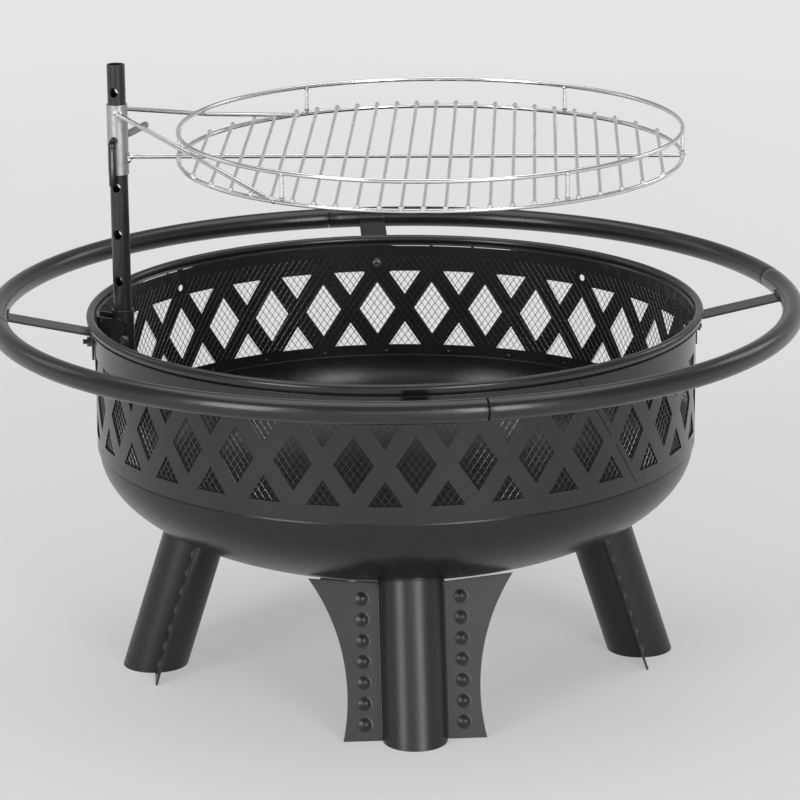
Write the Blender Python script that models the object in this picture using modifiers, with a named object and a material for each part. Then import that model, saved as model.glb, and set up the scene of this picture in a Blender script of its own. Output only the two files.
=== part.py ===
"""Fire pit with a cross-weave band, a handrail ring and a swing-out cooking grate.

The pit stands on four leaning legs at the origin, +Z up, and the front leg points along -Y.
The grate hangs on a post in a socket at -X and swings round the post's axis.
All lengths are metres, and all angles are degrees until they are used.
"""

import math

import bmesh
import bpy
from mathutils import Matrix, Vector

# Overall sizes
ring_outer_diameter = 0.9144
ring_height = 0.412
ring_tube_diameter = 0.0254
rim_diameter = 0.6858
band_inset = 0.0083

# Sheets and clearances
band_sheet = 0.0015
bowl_sheet = 0.0020
liner_sheet = 0.0010
plate_sheet = 0.0025
clearance = 0.0003
sheet_clearance = 0.0004
facets = 64
cut_margin = 0.005
drill_sides = 8
drill_twist = 10.0
flat_tolerance = 0.0001

# Rim
rim_bead_diameter = 0.010
rim_bead_sides = 8
rim_rise = 0.001
rim_lip_drop = 0.0032
rim_lip_overhang = 0.0059
rim_lip_sheet = 0.0012
rim_slit = 0.0010
rim_tabs = 8
rim_tab_width = 0.008
rim_slit_steps = 7

# Cross-weave band
band_height = 0.1375
band_overlap = 0.018
diamond_count = 32
lattice_drop = 0.0740
lattice_height = 0.091
strip_width = 0.019
strip_slope = 56.0
hole_count = 8
hole_drop = 0.0190
hole_diameter = 0.0078

# Mesh liner
liner_rows = 2
liner_margin = 0.0050
liner_open_share = 0.88

# Bowl
bowl_shoulder_rise = 0.001
bowl_depth = 0.131
bowl_fullness = 2.1
bowl_rings = 6

# Ring brackets and their bolts
bracket_width = 0.031
bracket_flange_height = 0.0300
bracket_bend_rise = 0.0125
bolt_diameter = 0.006
bolt_head_diameter = 0.0125
bolt_head_height = 0.0035
bolt_head_steps = ((0.55, 0.85), (0.90, 0.40))
bolt_end_length = 0.0015
long_bolt_end_length = 0.0045
nut_width = 0.010
nut_height = 0.0050

# Ring segments
ring_seams = (278.4, 10.2, 96.9, 188.0)
ring_neck_length = 0.018
ring_neck_wall = 0.0026
ring_end_step = 0.3

# Legs
leg_tube_diameter = 0.070
leg_tube_wall = 0.0020
leg_lean = 17.5
leg_trim = 0.050
leg_inset = 0.0562
wing_top_width = 0.1104
wing_waist_width = 0.0717
wing_waist_share = 0.31
wing_foot_width = 0.0775
wing_top_gap = 0.0065
wing_top_rise = 0.0057
dome_count = 7
dome_offset = 0.0534
dome_pitch = 0.0225
dome_foot_gap = 0.0180
dome_diameter = 0.0135
dome_rise = 0.0026

# Post and socket
post_inset = 0.0326
post_diameter = 0.020
post_wall = 0.0018
post_rise = 0.279
post_hole_diameter = 0.010
post_hole_count = 5
post_hole_pitch = 0.053
post_top_to_hole = 0.030
socket_wall = 0.0020
socket_length = 0.108
socket_rise = 0.004
socket_floor = 0.003
socket_drain_diameter = 0.008
socket_bracket_height = 0.040
socket_bracket_drop = 0.010
set_screw_drop = 0.032
set_screw_head_diameter = 0.0114

# Grate
swing_angle = -5.7
grate_arm = 0.3424
grate_ring_radius = 0.2752
grate_facets = 48
grate_drop_from_pin = 0.0194
grate_ring_wire = 0.005
rod_wire = 0.004
rod_count = 23
rod_edge_gap = 0.0244
rod_overhang = 0.004
rail_rise = 0.0318
rail_post_wire = 0.0045
strut_under_rail = 0.0070
rail_post_gap_count = 6.5
strut_foot_past_post = 0.010
strut_top_rise = 0.0335
weld_sink = 0.0008

# Sleeve and pin
sleeve_wall = 0.0012
sleeve_height = 0.078
pin_hole_index = 3
pin_diameter = 0.008
pin_direction = 247.2
pin_tail = 0.080
pin_handle_reach = 0.0175
pin_handle_drop = 0.050
pin_bend_radius = 0.006
pin_bend_steps = 4

# Derived radii and heights
ring_tube_radius = ring_tube_diameter / 2
ring_radius = ring_outer_diameter / 2 - ring_tube_radius
rim_top = ring_height + rim_rise
bead_radius = rim_bead_diameter / 2
bead_centre_radius = rim_diameter / 2 - bead_radius
bead_centre_height = rim_top - bead_radius
rim_bottom = rim_top - rim_bead_diameter - rim_lip_drop
band_outer = rim_diameter / 2 - band_inset
band_inner = band_outer - band_sheet
tab_top = rim_bottom - clearance
band_top = tab_top - rim_slit
band_bottom = band_top - band_height
lattice_centre = band_top - lattice_drop
hole_height = band_top - hole_drop
liner_outer = band_inner - sheet_clearance
liner_inner = liner_outer - liner_sheet
bowl_top = band_bottom + band_overlap
liner_bottom = bowl_top + clearance
liner_top = hole_height - bolt_head_diameter / 2 - clearance
bowl_outer = band_inner - sheet_clearance
bowl_inner = bowl_outer - bowl_sheet
bowl_shoulder = band_bottom + bowl_shoulder_rise
bowl_bottom = bowl_shoulder - bowl_depth
leg_spread = bowl_outer - leg_inset
post_reach = band_outer - post_inset
post_radius = post_diameter / 2
post_top = ring_height + post_rise
socket_top = ring_height + socket_rise
socket_bottom = socket_top - socket_length
post_bottom = socket_bottom + socket_floor + clearance
bore_radius = post_radius + clearance
pin_height = post_top - post_top_to_hole - (post_hole_count - 1 - pin_hole_index) * post_hole_pitch
grate_height = pin_height - grate_drop_from_pin
rail_height = grate_height + rail_rise
rod_pitch = 2 * (grate_ring_radius - rod_edge_gap) / (rod_count - 1)
rail_post_turn = math.degrees(math.acos(rail_post_gap_count * rod_pitch / grate_ring_radius))
rail_post_angles = (0.0, rail_post_turn, 180.0 - rail_post_turn, 180.0, 180.0 + rail_post_turn,
                    360.0 - rail_post_turn)
strut_foot_angle = 180.0 - rail_post_turn + math.degrees(strut_foot_past_post / grate_ring_radius)
lean = math.radians(leg_lean)


def collection_named(name):
    """Return a new collection in the scene."""
    collection = bpy.data.collections.new(name)
    bpy.context.scene.collection.children.link(collection)
    return collection


def material_named(name, colour, roughness, metallic):
    """Return a Principled material."""
    material = bpy.data.materials.new(name)
    material.use_nodes = True
    shader = material.node_tree.nodes["Principled BSDF"]
    shader.inputs["Base Color"].default_value = (*colour, 1.0)
    shader.inputs["Roughness"].default_value = roughness
    shader.inputs["Metallic"].default_value = metallic
    return material


def add_object(name, mesh, collection, material=None):
    """Link a mesh as a new object, shaded smooth between its sharp edges."""
    thing = bpy.data.objects.new(name, mesh)
    collection.objects.link(thing)
    if material is not None and not mesh.materials:
        mesh.materials.append(material)
    mesh.shade_smooth()
    mesh.set_sharp_from_angle(angle=math.radians(32))
    return thing


def evaluated_mesh(thing):
    """Return a new mesh of an object as its modifiers leave it, in the object's own space."""
    bpy.context.view_layer.update()
    graph = bpy.context.evaluated_depsgraph_get()
    return bpy.data.meshes.new_from_object(thing.evaluated_get(graph))


def weld(mesh, distance=0.00001):
    """Weld a mesh's loose caps and turn its faces outward."""
    work = bmesh.new()
    work.from_mesh(mesh)
    bmesh.ops.remove_doubles(work, verts=work.verts, dist=distance)
    bmesh.ops.recalc_face_normals(work, faces=work.faces)
    work.to_mesh(mesh)
    work.free()


def boolean(thing, other, operation):
    """Add an exact Boolean modifier that uses another object."""
    modifier = thing.modifiers.new(operation.lower(), "BOOLEAN")
    modifier.object = other
    modifier.operation = operation
    modifier.solver = "EXACT"


def freeze(thing, *used):
    """Make an object's modifiers its real mesh, and remove the objects that they used."""
    mesh = evaluated_mesh(thing)
    thing.modifiers.clear()
    thing.data = mesh
    for other in used:
        bpy.data.objects.remove(other)
    return thing


def turned(name, profile, collection, material=None, closed=True, angle=math.tau, steps=facets):
    """Turn a profile round Z. Its outer side runs from top to bottom."""
    work = bmesh.new()
    points = [work.verts.new((radius, 0.0, height)) for radius, height in profile]
    for first, second in zip(points, points[1:]):
        work.edges.new((first, second))
    if closed:
        work.edges.new((points[-1], points[0]))
    mesh = bpy.data.meshes.new(name)
    work.to_mesh(mesh)
    work.free()
    thing = add_object(name, mesh, collection, material)
    screw = thing.modifiers.new("turn", "SCREW")
    screw.angle = angle
    screw.steps = steps
    screw.render_steps = steps
    screw.use_merge_vertices = True
    screw.merge_threshold = 0.00001
    screw.use_smooth_shade = False
    return freeze(thing)


def wire(name, points, radius, collection, material=None, sides=8, cyclic=False):
    """Bend a round wire along points and weld its caps."""
    curve = bpy.data.curves.new(name, "CURVE")
    curve.dimensions = "3D"
    curve.bevel_depth = radius
    curve.bevel_resolution = (sides - 4) // 2
    curve.use_fill_caps = True
    spline = curve.splines.new("POLY")
    spline.points.add(len(points) - 1)
    for target, point in zip(spline.points, points):
        target.co = (*point, 1.0)
    spline.use_cyclic_u = cyclic
    guide = bpy.data.objects.new(name + "_path", curve)
    collection.objects.link(guide)
    mesh = evaluated_mesh(guide)
    weld(mesh)
    bpy.data.objects.remove(guide)
    return add_object(name, mesh, collection, material)


def plate(name, outline, thickness, frame, collection, material=None):
    """Extrude a flat outline to both sides of the XY plane of a frame."""
    curve = bpy.data.curves.new(name, "CURVE")
    curve.dimensions = "2D"
    curve.fill_mode = "BOTH"
    curve.extrude = thickness / 2
    spline = curve.splines.new("POLY")
    spline.points.add(len(outline) - 1)
    for target, point in zip(spline.points, outline):
        target.co = (point[0], point[1], 0.0, 1.0)
    spline.use_cyclic_u = True
    guide = bpy.data.objects.new(name + "_outline", curve)
    collection.objects.link(guide)
    mesh = evaluated_mesh(guide)
    mesh.transform(frame)
    weld(mesh)
    bpy.data.objects.remove(guide)
    return add_object(name, mesh, collection, material)


def cylinder(name, radius, start, end, collection, material=None, sides=24, twist=0.0):
    """Stand a closed cylinder between two points, its sides twisted by some degrees."""
    start = Vector(start)
    end = Vector(end)
    along = end - start
    turn = along.to_track_quat("Z", "Y").to_matrix().to_4x4()
    turn = turn @ Matrix.Rotation(math.radians(twist), 4, "Z")
    work = bmesh.new()
    bmesh.ops.create_cone(
        work, cap_ends=True, segments=sides, radius1=radius, radius2=radius, depth=along.length,
        matrix=Matrix.Translation((start + end) / 2) @ turn)
    mesh = bpy.data.meshes.new(name)
    work.to_mesh(mesh)
    work.free()
    return add_object(name, mesh, collection, material)


def box(name, low, high, collection, material=None):
    """Make a box between two corners."""
    low = Vector(low)
    high = Vector(high)
    work = bmesh.new()
    size = Matrix.Diagonal((*(high - low), 1.0))
    bmesh.ops.create_cube(work, size=1.0, matrix=Matrix.Translation((low + high) / 2) @ size)
    mesh = bpy.data.meshes.new(name)
    work.to_mesh(mesh)
    work.free()
    return add_object(name, mesh, collection, material)


def joined(name, things, collection):
    """Join several meshes into one object that keeps them as separate bodies."""
    work = bmesh.new()
    for thing in things:
        part = evaluated_mesh(thing)
        part.transform(thing.matrix_world)
        work.from_mesh(part)
        bpy.data.meshes.remove(part)
        bpy.data.objects.remove(thing)
    mesh = bpy.data.meshes.new(name)
    work.to_mesh(mesh)
    work.free()
    return add_object(name, mesh, collection)


def polar(radius, degrees, height=0.0):
    """Return a point at a radius and an angle round Z."""
    angle = math.radians(degrees)
    return Vector((radius * math.cos(angle), radius * math.sin(angle), height))


def arc(radius, start, end, height):
    """Return points along a level arc round Z, on every facet line between two square ends."""
    step = 360.0 / facets
    near = start + ring_end_step
    far = end - ring_end_step
    first = math.floor(near / step) + 1
    last = math.ceil(far / step)
    middle = [index * step for index in range(first, last)]
    return [polar(radius, angle, height) for angle in [start, near] + middle + [far, end]]


def short_arc(radius, start, end, height):
    """Return points along a level arc round Z that is too short to meet a facet line."""
    angles = [start + (end - start) * index / 4 for index in range(5)]
    return [polar(radius, angle, height) for angle in angles]


def radial_frame(degrees, radius, height):
    """Return a frame on a wall, with X along the wall, Y up and Z outward."""
    turn = Matrix.Rotation(math.radians(degrees), 4, "Z")
    axes = Matrix(((0, 0, 1, 0), (1, 0, 0, 0), (0, 1, 0, 0), (0, 0, 0, 1)))
    return turn @ Matrix.Translation((radius, 0.0, height)) @ axes


def bowl_curve(extra=0.0, rings=bowl_rings):
    """Return the dish's outer line from its wall to its middle, moved outward by extra."""
    points = []
    for index in range(1, rings + 1):
        angle = math.radians(90.0) * index / rings
        reach = bowl_outer * math.cos(angle) ** (2 / bowl_fullness) if index < rings else 0.0
        depth = bowl_depth * math.sin(angle) ** (2 / bowl_fullness)
        points.append((reach, bowl_shoulder - depth))
    moved = []
    for reach, height in points:
        slope = (reach / bowl_outer) ** (bowl_fullness - 1) / bowl_outer
        fall = ((bowl_shoulder - height) / bowl_depth) ** (bowl_fullness - 1) / bowl_depth
        length = math.hypot(slope, fall)
        moved.append((reach + extra * slope / length, height - extra * fall / length))
    return moved


def bowl_surface(radius):
    """Return the height of the dish's outside at a radius."""
    share = min(radius / bowl_outer, 1.0)
    return bowl_shoulder - bowl_depth * (1.0 - share ** bowl_fullness) ** (1 / bowl_fullness)


def make_bowl(parts, paint):
    """The pressed bowl, with a straight wall that the band is welded round."""
    outer = [(bowl_outer, bowl_top), (bowl_outer, bowl_shoulder)] + bowl_curve()
    inner = [(bowl_inner, bowl_top), (bowl_inner, bowl_shoulder)] + bowl_curve(-bowl_sheet)
    profile = outer + inner[::-1]
    return turned("fire_bowl", profile, parts, paint)


def opening_prism(name, outline, degrees, cutters):
    """A prism that cuts one opening through the band from inside to outside."""
    frame = radial_frame(degrees, band_outer - band_sheet / 2, 0.0)
    return plate(name, outline, 2 * cut_margin, frame, cutters)


def make_band(parts, cutters, paint):
    """The band, with a row of diamonds and two rows of triangles that leave crossing strips."""
    profile = [(band_outer, tab_top), (band_outer, band_bottom), (band_inner, band_bottom),
               (band_inner, tab_top)]
    band = turned("cross_weave_band", profile, parts, paint)
    tab_angle = math.degrees(rim_tab_width / band_outer)
    gap_angle = 360.0 / rim_tabs - tab_angle
    slit = [(band_outer + cut_margin, tab_top + cut_margin), (band_outer + cut_margin, band_top),
            (band_inner - cut_margin, band_top), (band_inner - cut_margin, tab_top + cut_margin)]
    slits = []
    for index in range(rim_tabs):
        tool = turned("slit", slit, cutters, angle=math.radians(gap_angle), steps=rim_slit_steps)
        close_ends(tool)
        turn = (index + 0.5) * 360.0 / rim_tabs - gap_angle / 2
        tool.rotation_euler.z = math.radians(turn)
        slits.append(tool)
    slits = joined("rim_slits", slits, cutters)
    boolean(band, slits, "DIFFERENCE")
    freeze(band, slits)

    pitch = math.tau * band_outer / diamond_count
    slope = math.tan(math.radians(strip_slope))
    strip_level = strip_width / math.sin(math.radians(strip_slope))
    half_height = lattice_height / 2
    reach = (pitch - strip_level) / 2
    rise = reach * slope
    notch = strip_level / 2 * slope
    base = (half_height - notch) / slope
    diamond = [(reach, lattice_centre), (0.0, lattice_centre + rise), (-reach, lattice_centre),
               (0.0, lattice_centre - rise)]
    above = [(base, lattice_centre + half_height), (-base, lattice_centre + half_height),
             (0.0, lattice_centre + notch)]
    below = [(-base, lattice_centre - half_height), (base, lattice_centre - half_height),
             (0.0, lattice_centre - notch)]
    step = 360.0 / diamond_count
    prisms = []
    for index in range(diamond_count):
        prisms.append(opening_prism("diamond", diamond, index * step, cutters))
        prisms.append(opening_prism("above", above, (index + 0.5) * step, cutters))
        prisms.append(opening_prism("below", below, (index + 0.5) * step, cutters))
    openings = joined("band_openings", prisms, cutters)
    boolean(band, openings, "DIFFERENCE")
    freeze(band, openings)

    tools = []
    for index in range(hole_count):
        angle = index * 360.0 / hole_count
        start = polar(band_inner - cut_margin, angle, hole_height)
        end = polar(band_outer + cut_margin, angle, hole_height)
        tools.append(cylinder("hole", hole_diameter / 2, start, end, cutters, sides=drill_sides,
                              twist=drill_twist))
    holes = joined("band_holes", tools, cutters)
    boolean(band, holes, "DIFFERENCE")
    return freeze(band, holes)


def close_ends(thing):
    """Close the two open ends of a part-turned profile."""
    work = bmesh.new()
    work.from_mesh(thing.data)
    edges = [edge for edge in work.edges if edge.is_boundary]
    bmesh.ops.holes_fill(work, edges=edges, sides=0)
    bmesh.ops.recalc_face_normals(work, faces=work.faces)
    work.to_mesh(thing.data)
    work.free()


def make_liner(parts, cutters, steel):
    """The mesh liner inside the band, with large openings that stand for its fine mesh."""
    profile = [(liner_outer, liner_top), (liner_outer, liner_bottom),
               (liner_inner, liner_bottom), (liner_inner, liner_top)]
    liner = turned("mesh_liner", profile, parts, steel)
    pitch = math.tau * liner_outer / diamond_count
    open_height = liner_top - liner_bottom - 2 * liner_margin
    row = open_height / (liner_rows - 1 + 2 * liner_open_share)
    half_width = pitch / 2 * liner_open_share
    half_height = row * liner_open_share
    gap = [(half_width, 0.0), (0.0, half_height), (-half_width, 0.0), (0.0, -half_height)]
    step = 360.0 / diamond_count
    prisms = []
    for level in range(liner_rows):
        height = liner_top - liner_margin - half_height - level * row
        shift = 0.5 if level % 2 == 0 else 0.0
        for index in range(diamond_count):
            frame = radial_frame((index + shift) * step, liner_outer, height)
            prisms.append(plate("gap", gap, 2 * cut_margin, frame, cutters))
    gaps = joined("liner_gaps", prisms, cutters)
    boolean(liner, gaps, "DIFFERENCE")
    return freeze(liner, gaps)


def make_rim(parts, paint):
    """The rolled rim: a round bead over a thin lip that hangs outside the band."""
    points = []
    for index in range(rim_bead_sides - 1):
        angle = math.radians(-45.0 + 360.0 * index / rim_bead_sides)
        points.append((bead_centre_radius + bead_radius * math.cos(angle),
                       bead_centre_height + bead_radius * math.sin(angle)))
    lip_outer = band_outer + rim_lip_overhang
    lip = [(band_inner, rim_bottom), (lip_outer, rim_bottom), (lip_outer, rim_bottom + rim_lip_sheet)]
    return turned("rim_ring", (points + lip)[::-1], parts, paint)


def make_ring(parts, cutters, paint):
    """The handrail ring: four bent tubes, each with a drawn-in neck inside the next."""
    names = ("ring_tube_front_right", "ring_tube_back_right", "ring_tube_back_left",
             "ring_tube_front_left")
    half_gap = math.degrees(clearance / ring_radius) / 2
    neck = math.degrees(ring_neck_length / ring_radius)
    neck_radius = ring_tube_radius - ring_neck_wall
    for index, name in enumerate(names):
        start = ring_seams[index]
        end = ring_seams[(index + 1) % len(ring_seams)]
        if end < start:
            end += 360.0
        body = arc(ring_radius, start + half_gap, end - half_gap, ring_height)
        tube = wire(name, body, ring_tube_radius, parts, paint, sides=10)
        neck_path = short_arc(ring_radius, end - neck, end + neck, ring_height)
        spigot = wire("spigot", neck_path, neck_radius - 3 * clearance, cutters)
        boolean(tube, spigot, "UNION")
        freeze(tube, spigot)
        mouth_path = short_arc(ring_radius, start - neck, start + neck + 4 * half_gap, ring_height)
        mouth = wire("mouth", mouth_path, neck_radius, cutters)
        boolean(tube, mouth, "DIFFERENCE")
        freeze(tube, mouth)


def make_brackets(parts, cutters, paint, bolt_steel):
    """Four strips that carry the ring, each with a flange bolted through the band."""
    flange_inside = band_outer + clearance
    bend_height = hole_height + bracket_bend_rise
    foot_height = bend_height - bracket_flange_height
    work = bmesh.new()
    line = [(flange_inside, foot_height), (flange_inside, bend_height),
            (ring_radius, ring_height + plate_sheet / 2)]
    left = [work.verts.new((radius, -bracket_width / 2, height)) for radius, height in line]
    right = [work.verts.new((radius, bracket_width / 2, height)) for radius, height in line]
    for index in range(len(line) - 1):
        work.faces.new((left[index], right[index], right[index + 1], left[index + 1]))
    mesh = bpy.data.meshes.new("ring_bracket")
    work.to_mesh(mesh)
    work.free()
    sheet = add_object("ring_bracket", mesh, cutters)
    solid = sheet.modifiers.new("thickness", "SOLIDIFY")
    solid.thickness = plate_sheet
    solid.offset = 1.0
    solid.use_even_offset = True
    start = (flange_inside - cut_margin, 0.0, hole_height)
    end = (flange_inside + plate_sheet + cut_margin, 0.0, hole_height)
    drill = cylinder("drill", bolt_diameter / 2 + clearance, start, end, cutters, sides=8)
    boolean(sheet, drill, "DIFFERENCE")
    freeze(sheet, drill)
    near_ring = [polar(ring_radius, 360.0 * index / facets, ring_height) for index in range(-2, 3)]
    cope = wire("cope", near_ring, ring_tube_radius + clearance, cutters, sides=10)
    boolean(sheet, cope, "DIFFERENCE")
    freeze(sheet, cope)
    keep_largest(sheet.data)

    head_seat = band_inner - bolt_head_diameter / 2 * math.tan(math.pi / facets) - clearance
    nut_seat = flange_inside + plate_sheet + clearance
    nut = cylinder("nut", nut_width / math.sqrt(3.0), (nut_seat, 0.0, hole_height),
                   (nut_seat + nut_height, 0.0, hole_height), cutters, sides=6)
    tap = cylinder("tap", bolt_diameter / 2 + clearance, start,
                   (nut_seat + nut_height + cut_margin, 0.0, hole_height), cutters, sides=8)
    boolean(nut, tap, "DIFFERENCE")
    freeze(nut, tap)
    bolts = {}
    for name, seat, past_nut in (("plain", head_seat, bolt_end_length),
                                 ("socket", socket_flange_inside() - clearance, long_bolt_end_length)):
        stud_end = nut_seat + nut_height + past_nut
        shank = cylinder("shank", bolt_diameter / 2, (seat - bolt_head_height / 2, 0.0, hole_height),
                         (stud_end, 0.0, hole_height), cutters, sides=8)
        head_radius = bolt_head_diameter / 2
        steps = [(head_radius * across, bolt_head_height * up) for across, up in bolt_head_steps]
        dome = [(0.0, bolt_head_height)] + steps + [(head_radius, 0.0), (0.0, 0.0)]
        head = turned("head", dome, cutters, closed=False, steps=10)
        weld(head.data)
        head.data.transform(Matrix.Translation((seat, 0.0, hole_height))
                            @ Matrix.Rotation(math.radians(-90), 4, "Y"))
        boolean(shank, head, "UNION")
        bolts[name] = freeze(shank, head)

    for index, side in enumerate(("right", "back", "left", "front")):
        turn = math.radians(90.0 * index)
        bracket = add_object("ring_bracket_" + side, sheet.data, parts, paint)
        bracket.rotation_euler.z = turn
        kind = "socket" if side == "left" else "plain"
        bolt = add_object("ring_bolt_" + side, bolts[kind].data, parts, bolt_steel)
        bolt.rotation_euler.z = turn
        fixing = add_object("ring_nut_" + side, nut.data, parts, bolt_steel)
        fixing.rotation_euler.z = turn
    for thing in (sheet, nut, bolts["plain"], bolts["socket"]):
        bpy.data.objects.remove(thing)


def keep_largest(mesh):
    """Drop the offcuts of a mesh and keep its longest loose body."""
    work = bmesh.new()
    work.from_mesh(mesh)
    left = set(work.verts)
    bodies = []
    while left:
        body = set()
        edge = [left.pop()]
        while edge:
            vertex = edge.pop()
            body.add(vertex)
            for link in vertex.link_edges:
                other = link.other_vert(vertex)
                if other in left:
                    left.remove(other)
                    edge.append(other)
        bodies.append(body)
    bodies.sort(key=lambda body: max(v.co.x for v in body) - min(v.co.x for v in body))
    for body in bodies[:-1]:
        bmesh.ops.delete(work, geom=list(body), context="VERTS")
    work.to_mesh(mesh)
    work.free()


def socket_flange_inside():
    """Radius of the inner face of the post socket's wall plate, where the left bolt's head sits."""
    return liner_inner - bracket_width / 2 * math.tan(math.pi / facets) - clearance - plate_sheet


def leg_top():
    """Height at which a leg's axis meets the bowl's outside."""
    height = bowl_bottom
    for _ in range(20):
        height = bowl_surface(leg_spread - height * math.tan(lean))
    return height


def make_legs(parts, cutters, paint):
    """Four leaning tubes, each with a pair of waisted wing plates with a row of domes."""
    radius = leg_tube_diameter / 2
    top = leg_top()
    axis = Vector((math.sin(lean), 0.0, -math.cos(lean)))
    foot = Vector((leg_spread, 0.0, 0.0))
    head = foot - axis * (top + leg_trim) / math.cos(lean)
    toe = foot + axis * leg_trim
    tube = cylinder("leg_tube", radius, toe, head, cutters)
    bore = cylinder("bore", radius - leg_tube_wall, toe + axis * cut_margin,
                    head - axis * cut_margin, cutters)
    dish = bowl_curve(clearance)
    hull = [(0.0, bowl_top), (bowl_outer + clearance, bowl_top),
            (bowl_outer + clearance, bowl_shoulder)] + dish
    above = turned("bowl_space", hull, cutters, closed=False)
    weld(above.data)
    size = ring_outer_diameter
    below = box("floor", (-size, -size, -size), (size, size, 0.0), cutters)
    for other in (bore, above, below):
        boolean(tube, other, "DIFFERENCE")
        freeze(tube)
    for other in (bore, above, below):
        bpy.data.objects.remove(other)

    frame = Matrix.Translation(foot) @ Matrix.Rotation(math.radians(90), 4, "Z")
    frame = frame @ Matrix.Rotation(math.radians(90) - lean, 4, "X")
    inner = radius + clearance
    rise = (top - wing_top_gap) / math.cos(lean)
    outer_rise = rise + wing_top_rise
    curve = circle_through((wing_top_width, outer_rise), (wing_waist_width, outer_rise * wing_waist_share),
                           (wing_foot_width, 0.0), 10)
    low = plate_sheet / 2 * math.tan(lean)
    curve[-1] = (wing_foot_width, low)
    outline = [(inner, low)] + curve[::-1] + [(inner, rise)]
    wings = {}
    for side, sign in (("left", -1.0), ("right", 1.0)):
        points = [(sign * along, up) for along, up in outline]
        if sign < 0:
            points = points[::-1]
        wing = plate("wing", points, plate_sheet, frame, cutters)
        domes = []
        for index in range(dome_count):
            place = Matrix.Translation((sign * dome_offset, dome_foot_gap + index * dome_pitch, 0.0))
            domes.append(dome(frame @ place, cutters))
        row = joined("domes", domes, cutters)
        boolean(wing, row, "UNION")
        wings[side] = freeze(wing, row)

    for index, name in enumerate(("right", "back", "left", "front")):
        turn = math.radians(90.0 * index)
        leg = add_object("leg_tube_" + name, tube.data, parts, paint)
        leg.rotation_euler.z = turn
        for side, wing in wings.items():
            fin = add_object("leg_wing_" + name + "_" + side, wing.data, parts, paint)
            fin.rotation_euler.z = turn
    for thing in (tube, *wings.values()):
        bpy.data.objects.remove(thing)


def dome(frame, cutters):
    """One pressed dome on the outer face of a wing plate."""
    radius = dome_diameter / 2
    work = bmesh.new()
    rise = plate_sheet / 2 + dome_rise
    size = Matrix.Diagonal((1.0, 1.0, rise / radius, 1.0))
    bmesh.ops.create_uvsphere(work, u_segments=7, v_segments=4, radius=radius, matrix=size)
    low = [vertex for vertex in work.verts if vertex.co.z < -flat_tolerance]
    bmesh.ops.delete(work, geom=low, context="VERTS")
    bmesh.ops.holes_fill(work, edges=[edge for edge in work.edges if edge.is_boundary], sides=0)
    bmesh.ops.recalc_face_normals(work, faces=work.faces)
    mesh = bpy.data.meshes.new("dome")
    work.to_mesh(mesh)
    work.free()
    mesh.transform(frame)
    return add_object("dome", mesh, cutters)


def circle_through(first, second, third, count):
    """Return points on the circular arc from the first point to the third through the second."""
    ax, ay = first
    bx, by = second
    cx, cy = third
    scale = 2 * (ax * (by - cy) + bx * (cy - ay) + cx * (ay - by))
    ux = ((ax * ax + ay * ay) * (by - cy) + (bx * bx + by * by) * (cy - ay)
          + (cx * cx + cy * cy) * (ay - by)) / scale
    uy = ((ax * ax + ay * ay) * (cx - bx) + (bx * bx + by * by) * (ax - cx)
          + (cx * cx + cy * cy) * (bx - ax)) / scale
    radius = math.hypot(ax - ux, ay - uy)
    start = math.atan2(ay - uy, ax - ux) % math.tau
    end = math.atan2(cy - uy, cx - ux) % math.tau
    return [(ux + radius * math.cos(start + (end - start) * index / count),
             uy + radius * math.sin(start + (end - start) * index / count))
            for index in range(count + 1)]


def make_post(parts, cutters, paint):
    """The hollow post, drilled through at each grate height."""
    centre = Vector((-post_reach, 0.0, 0.0))
    profile = [(post_radius, post_top), (post_radius, post_bottom),
               (post_radius - post_wall, post_bottom), (post_radius - post_wall, post_top)]
    post = turned("post", profile, parts, paint, steps=20)
    post.data.transform(Matrix.Translation(centre))
    drills = []
    for index in range(post_hole_count):
        height = post_top - post_top_to_hole - index * post_hole_pitch
        reach = polar(post_diameter, pin_direction)
        middle = centre + Vector((0.0, 0.0, height))
        drills.append(cylinder("drill", post_hole_diameter / 2, middle - reach, middle + reach,
                               cutters, sides=8))
    row = joined("post_holes", drills, cutters)
    boolean(post, row, "DIFFERENCE")
    return freeze(post, row)


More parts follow.
